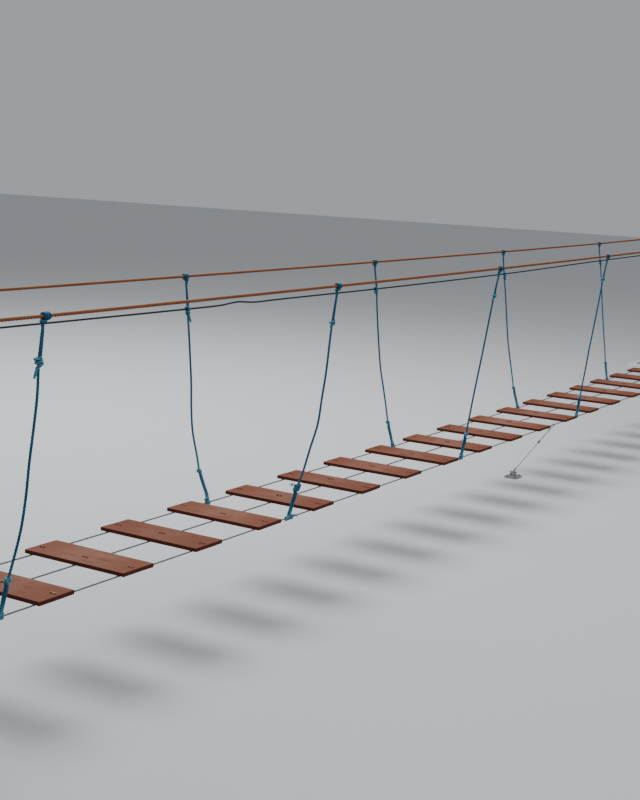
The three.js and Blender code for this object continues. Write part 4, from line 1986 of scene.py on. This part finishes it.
    def _foot_loop(self, lower: Array) -> list[Array]:
        """Down the outer leg, round the cable, once round both legs and up the inner leg.

        Args:
            lower: The middle of the lower knot.

        Returns:
            Points from just under the lower knot back to it.
        """
        foot, half = self._foot, self._out * BRIDGE.hanger_radius
        slid = foot + self._cable_way() * self.form.foot_slide
        way = self._cable_way() * -self.side.value
        end = self.form.foot_spread / 2 + self.foot_margin
        near_end, far_end = end - self.foot_turn, end - self.foot_lead
        wrap = Wrap((
            (0.0, -end, 0.0), (-0.4, -far_end, 0.0), (-0.9, -near_end, 0.0), (-1.6, near_end, 0.0),
            (-2.1, far_end, 0.0), (-2.5, end, 0.0),
        ))
        turns = wrap.path(slid, way, self._out, BRIDGE.wire_radius, BRIDGE.hanger_radius)
        up = unit(lower - slid)
        collar = self.foot_collar.path(slid + up * self.foot_collar_rise, up, self._out, math.pi)
        down = [lerp(lower, foot, share) + half * self.leg_share for share in (0.2, 0.5, 0.76)]
        inner = [lerp(foot, lower, share) - half * self.leg_share for share in (0.22, 0.5, 0.8)]
        near = lerp(turns[0], slid + up * self.foot_entry_rise + half, 0.5)
        return [*down, near, *turns, *collar, *inner]

    def _foot_end(self) -> Shape:
        """The spare rope that sticks out of the foot hitch.

        Returns:
            The rope, which reaches outward and along the cable and droops a little.
        """
        reach = self.form.foot_tail
        root = self._foot + self._cable_way() * self.form.foot_slide + vec(0, 0, self.foot_tail_rise)
        along, outward, up = self.foot_tail_way
        way = unit(self._cable_way() * along + self._out * outward + vec(0, 0, up))
        tip = root + way * reach - vec(0, 0, self.foot_tail_droop)
        stops = [root, root + way * 0.5 * reach, tip]
        end = HANGER_LAY.sweep(smooth_line(stops, HANGER_LAY.spacing), cut_end)
        # The spare end is drawn pale like the knots: partly bleaching, partly painted light.
        end.attributes["weathered"] = np.full(len(end.points), self.knot_fade_and_light)
        return end


# Wind stay


@dataclass
class WindStay:
    """The thin stay from the right deck cable down to its anchor, doubled back to a clamp."""

    palette: Palette
    x: float = BRIDGE.middle + 1.5
    anchor_y: float = 0.040
    lug_top: float = -0.296
    doubled_share: float = 0.36
    clearance: float = 0.0003
    half_gap: float = 0.0002
    eye_rise: float = 0.030
    socket_rise: float = 0.001
    tail: float = 0.022
    lead_share: float = 0.3
    tail_share: float = 0.6
    loop_points: int = 11
    socket: Profile = (
        (0.0030, 0.0), (0.0048, 0.003), (0.0048, 0.024), (0.0036, 0.028), (0.0036, 0.032)
    )
    sleeve: Profile = (
        (0.0062, -0.011), (0.0078, -0.009), (0.0078, 0.009), (0.0062, 0.011)
    )
    fitting_sides: int = 16

    def build(self) -> None:
        """Makes the stay with its sleeve and its socket."""
        top = vec(self.x, -BRIDGE.cable_offset, BRIDGE.cable_height(self.x))
        lug = vec(self.x, self.anchor_y, self.lug_top)
        way = unit(lug - top)
        loop_radius = BRIDGE.wire_radius + STAY_LAY.radius + self.clearance
        side = vec(STAY_LAY.radius + self.half_gap, 0, 0)
        clamp = top + (lug - top) * self.doubled_share
        over = unit(np.cross(vec(1, 0, 0), way))
        loop = [
            top + loop_radius * (over * math.cos(angle) - way * math.sin(angle)) + side * math.cos(angle)
            for angle in np.linspace(0, math.pi, self.loop_points)
        ]
        doubled = lerp(clamp, top, 0.5)
        route = [lug - way * self.eye_rise, clamp + side * self.lead_share, doubled + side, *loop]
        route += [doubled - side, clamp - side * self.tail_share, clamp + way * self.tail - side]
        strands = STAY_LAY.sweep(smooth_line(route, STAY_LAY.spacing))
        fittings = [
            lathe(self.socket, self.fitting_sides).moved(turned_to(-way, lug - way * self.socket_rise)),
            lathe(self.sleeve, self.fitting_sides).moved(turned_to(way, clamp)),
        ]
        for fitting in fittings:
            fitting.finish = 1
        finishes = [self.palette.wire, self.palette.bolt]
        shape = joined([strands, *fittings])
        add_piece("wind_stay_strands", shape, finishes, ["wind_stay"], STAY_CREASE)


# End frames


@dataclass
class EndFrame:
    """What dresses a packed anchor frame: its zinc, the welds and the anchor bolts."""

    palette: Palette
    end: End
    bolt_reach: float = 0.11
    bolt_rows: tuple[float, ...] = (-0.60, -0.30, 0.30, 0.60)
    washer: Washer = Washer(0.018, 0.0185, 0.001, 0.0028, 24)
    nut_width: float = 0.027
    nut_height: float = 0.013
    stud: Profile = ((0.0078, 0.0), (0.0078, 0.030), (0.0066, 0.032))
    stud_sides: int = 16
    weld_radius: float = 0.0035
    weld_sides: int = 6
    weld_steps: int = 96
    ripple: float = 0.0005
    ripple_count: int = 31
    beam_weld_share: float = 0.55

    def build(self) -> None:
        """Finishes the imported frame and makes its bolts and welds."""
        node = f"{self.end.label}_anchor_frame"
        set_finish(node, self.palette.frame)
        place = Matrix.Translation((end_place(self.end), 0, 0))
        pairs = [self._bolt(x, y) for y in self.bolt_rows for x in (-self.bolt_reach, self.bolt_reach)]
        bolts, name = joined(pairs).moved(place), f"{self.end.label}_frame_bolts"
        add_piece(name, bolts, [self.palette.bolt], (), BOLT_CREASE)
        welds = joined(self._welds()).moved(place)
        add_piece(f"{self.end.label}_frame_welds", welds, [self.palette.frame])

    def _bolt(self, x: float, y: float) -> Shape:
        """An anchor stud with its washer and nut.

        Args:
            x: Its place along the bridge, from the frame.
            y: Its place across the bridge.

        Returns:
            The three on the base plate.
        """
        base = BRIDGE.base_thickness
        nut, stud = hex_nut(self.nut_width, self.nut_height), lathe(self.stud, self.stud_sides)
        parts = [(self.washer.build(), 0.0), (nut, self.washer.height), (stud, 0.0)]
        return joined([part.moved(Matrix.Translation((x, y, base + lift))) for part, lift in parts])

    def _bead(self, centre: Array, way: Array, radius: float) -> Shape:
        """A ring of weld round a tube, uneven as a hand-laid bead.

        Args:
            centre: The middle of the ring.
            way: The direction of the tube.
            radius: The tube's radius.

        Returns:
            The bead.
        """
        first = unit(np.cross(way, vec(0.3, 0.5, 0.81)))
        second = np.cross(way, first)
        ring = []
        for step in range(self.weld_steps + 1):
            angle = 2 * math.pi * step / self.weld_steps
            reach = radius + self.ripple * math.sin(angle * self.ripple_count)
            ring.append(centre + (first * math.cos(angle) + second * math.sin(angle)) * reach)
        return rod(even_steps(np.array(ring), BEND_SPACING), self.weld_radius, self.weld_sides)

    def _welds(self) -> list[Shape]:
        """Beads at the feet of the posts and where the beam meets them.

        Returns:
            Two beads for each post.
        """
        shapes = []
        for side in Side:
            y = side.value * BRIDGE.post_offset
            shapes.append(self._bead(vec(0, y, BRIDGE.base_thickness), vec(0, 0, 1), BRIDGE.post_radius))
            inner_y = y - side.value * BRIDGE.post_radius * self.beam_weld_share
            inner = vec(0, inner_y, BRIDGE.beam_height)
            shapes.append(self._bead(inner, vec(0, 1, 0), BRIDGE.post_radius))
        return shapes


def set_finish(node: str, material: Material) -> None:
    """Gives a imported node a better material.

    Args:
        node: The node's name.
        material: Its new finish.
    """
    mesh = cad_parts[node].data
    mesh.materials.clear()
    mesh.materials.append(material)
    LOG.info("%s: finished as %s", node, material.name)


@dataclass
class StayAnchor:
    """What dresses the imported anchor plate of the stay."""

    palette: Palette
    centre: tuple[float, float, float] = (7.75, 0.040, -0.330)
    bolt_reach: tuple[float, float] = (0.040, 0.030)
    washer: Washer = Washer(0.0095, 0.0098, 0.0008, 0.0016, 20)
    nut_width: float = 0.0145
    nut_height: float = 0.008

    def build(self) -> None:
        """Finishes the plate and makes its bolts."""
        set_finish("stay_anchor", self.palette.frame)
        shapes = []
        along, across = self.bolt_reach
        for x, y in ((-along, -across), (along, -across), (-along, across), (along, across)):
            place = Matrix.Translation(Vector(self.centre) + Vector((x, y, 0)))
            nut = hex_nut(self.nut_width, self.nut_height)
            shapes.append(self.washer.build().moved(place))
            shapes.append(nut.moved(place @ Matrix.Translation((0, 0, self.washer.height))))
        bolts = joined(shapes)
        add_piece("stay_anchor_bolts", bolts, [self.palette.bolt], (), BOLT_CREASE)


# Studio


@dataclass(frozen=True)
class PhotoCamera:
    """The photograph's own viewpoint, solved from the corners of the planks and the ropes."""

    place: tuple[float, float, float] = (-1.3142, -3.6781, 1.7731)
    yaw: float = math.radians(59.263)
    pitch: float = math.radians(9.450)
    roll: float = math.radians(2.892)
    focal_pixels: float = 1352.3
    shift_pixels: float = -0.5
    picture_height: int = 800
    sensor: float = 36.0
    clip_start: float = 0.05
    clip_end: float = 200.0

    def build(self) -> None:
        """Makes the camera the scene's own."""
        data = bpy.data.cameras.new("photo_camera")
        data.sensor_width = self.sensor
        data.lens = self.focal_pixels * self.sensor / self.picture_height
        data.shift_x = self.shift_pixels / self.picture_height
        data.clip_start = self.clip_start
        data.clip_end = self.clip_end
        level = Vector((math.cos(self.yaw), -math.sin(self.yaw), 0.0))
        flat = math.cos(self.pitch)
        drop = -math.sin(self.pitch)
        forward = Vector((math.sin(self.yaw) * flat, math.cos(self.yaw) * flat, drop))
        upright = level.cross(forward)
        right = level * math.cos(self.roll) + upright * math.sin(self.roll)
        turn = Matrix((right, right.cross(forward), -forward)).transposed().to_4x4()
        camera = bpy.data.objects.new("photo_camera", data)
        camera.matrix_world = Matrix.Translation(Vector(self.place)) @ turn
        bpy.context.scene.collection.objects.link(camera)
        bpy.context.scene.camera = camera
        LOG.info("photo_camera: lens %.2f mm", data.lens)


@dataclass(frozen=True)
class Studio:
    """Pale floor, blocks under the end frames and soft light all round."""

    floor_height: float = -0.3405
    floor_size: float = 120.0
    floor_thickness: float = 0.02
    block_size: tuple[float, float] = (0.44, 1.44)
    block_top: float = -0.0005
    chamfer: float = 0.004
    sky: Colour = (0.74, 0.78, 0.82)
    sky_strength: float = 0.50
    lit_height: float = 0.5
    key_place: tuple[float, float, float] = (7.0, 5.0, 9.0)
    key_size: float = 7.0
    key_power: float = 1200.0
    fill_place: tuple[float, float, float] = (1.0, -7.0, 4.0)
    fill_size: float = 6.0
    fill_power: float = 130.0

    def build(self) -> None:
        """Makes the floor, the blocks and the lights."""
        material = StudioFloor().build()
        floor = block(self.floor_size, self.floor_size, self.floor_thickness, self.chamfer)
        self._stage("studio_floor", floor, 0.0, self.floor_height - self.floor_thickness / 2, material)
        height = self.block_top - self.floor_height
        for end in End:
            footing = block(*self.block_size, height, self.chamfer)
            z = self.block_top - height / 2
            self._stage(f"{end.label}_block", footing, end_place(end), z, material)
        world = bpy.data.worlds.new("studio_world")
        world.use_nodes = True
        background = world.node_tree.nodes["Background"]
        background.inputs["Color"].default_value = (*self.sky, 1.0)
        background.inputs["Strength"].default_value = self.sky_strength
        bpy.context.scene.world = world
        self._light("key_light", Vector(self.key_place), self.key_size, self.key_power)
        self._light("fill_light", Vector(self.fill_place), self.fill_size, self.fill_power)

    def _stage(self, name: str, form: Shape, x: float, z: float, material: Material) -> None:
        """Adds a pale slab that isn't part of the bridge.

        Args:
            name: The slab's name.
            form: Its shape round its own middle.
            x: Where its middle lies along the bridge.
            z: The height of its middle.
            material: Its finish.
        """
        shape = form.moved(Matrix.Translation((x, 0, z)))
        mesh = bpy.data.meshes.new(name)
        mesh.from_pydata(shape.points.tolist(), [], shape.faces)
        mesh.materials.append(material)
        slab = bpy.data.objects.new(name, mesh)
        bpy.context.scene.collection.objects.link(slab)
        LOG.info("%s: staged", name)

    def _light(self, name: str, place: Vector, size: float, power: float) -> None:
        """Adds a large soft lamp that shines on the middle of the bridge.

        Args:
            name: The lamp's name.
            place: Where it hangs.
            size: Its diameter.
            power: Its power in watts.
        """
        data = bpy.data.lights.new(name, "AREA")
        data.shape = "DISK"
        data.size = size
        data.energy = power
        lamp = bpy.data.objects.new(name, data)
        toward = Vector((BRIDGE.middle, 0, self.lit_height)) - place
        turn = toward.to_track_quat("-Z", "Y").to_matrix().to_4x4()
        lamp.matrix_world = Matrix.Translation(place) @ turn
        bpy.context.scene.collection.objects.link(lamp)


def write_sizes() -> None:
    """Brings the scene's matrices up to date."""
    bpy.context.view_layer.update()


def main() -> None:
    """Builds the whole scene in order."""
    logging.basicConfig(level=logging.INFO, format="%(name)s %(message)s")
    PhotoCamera().build()
    palette = Palette()
    Deck(palette).build()
    Wires(palette).build()
    HandRopes(palette).build()
    for side, forms in HANGER_FORMS.items():
        for number, form in enumerate(forms, start=1):
            Hanger(palette, side, number, form).build()
    WindStay(palette).build()
    StayAnchor(palette).build()
    for end in End:
        EndFrame(palette, end).build()
    Studio().build()
    write_sizes()


if __name__ == "__main__":
    main()
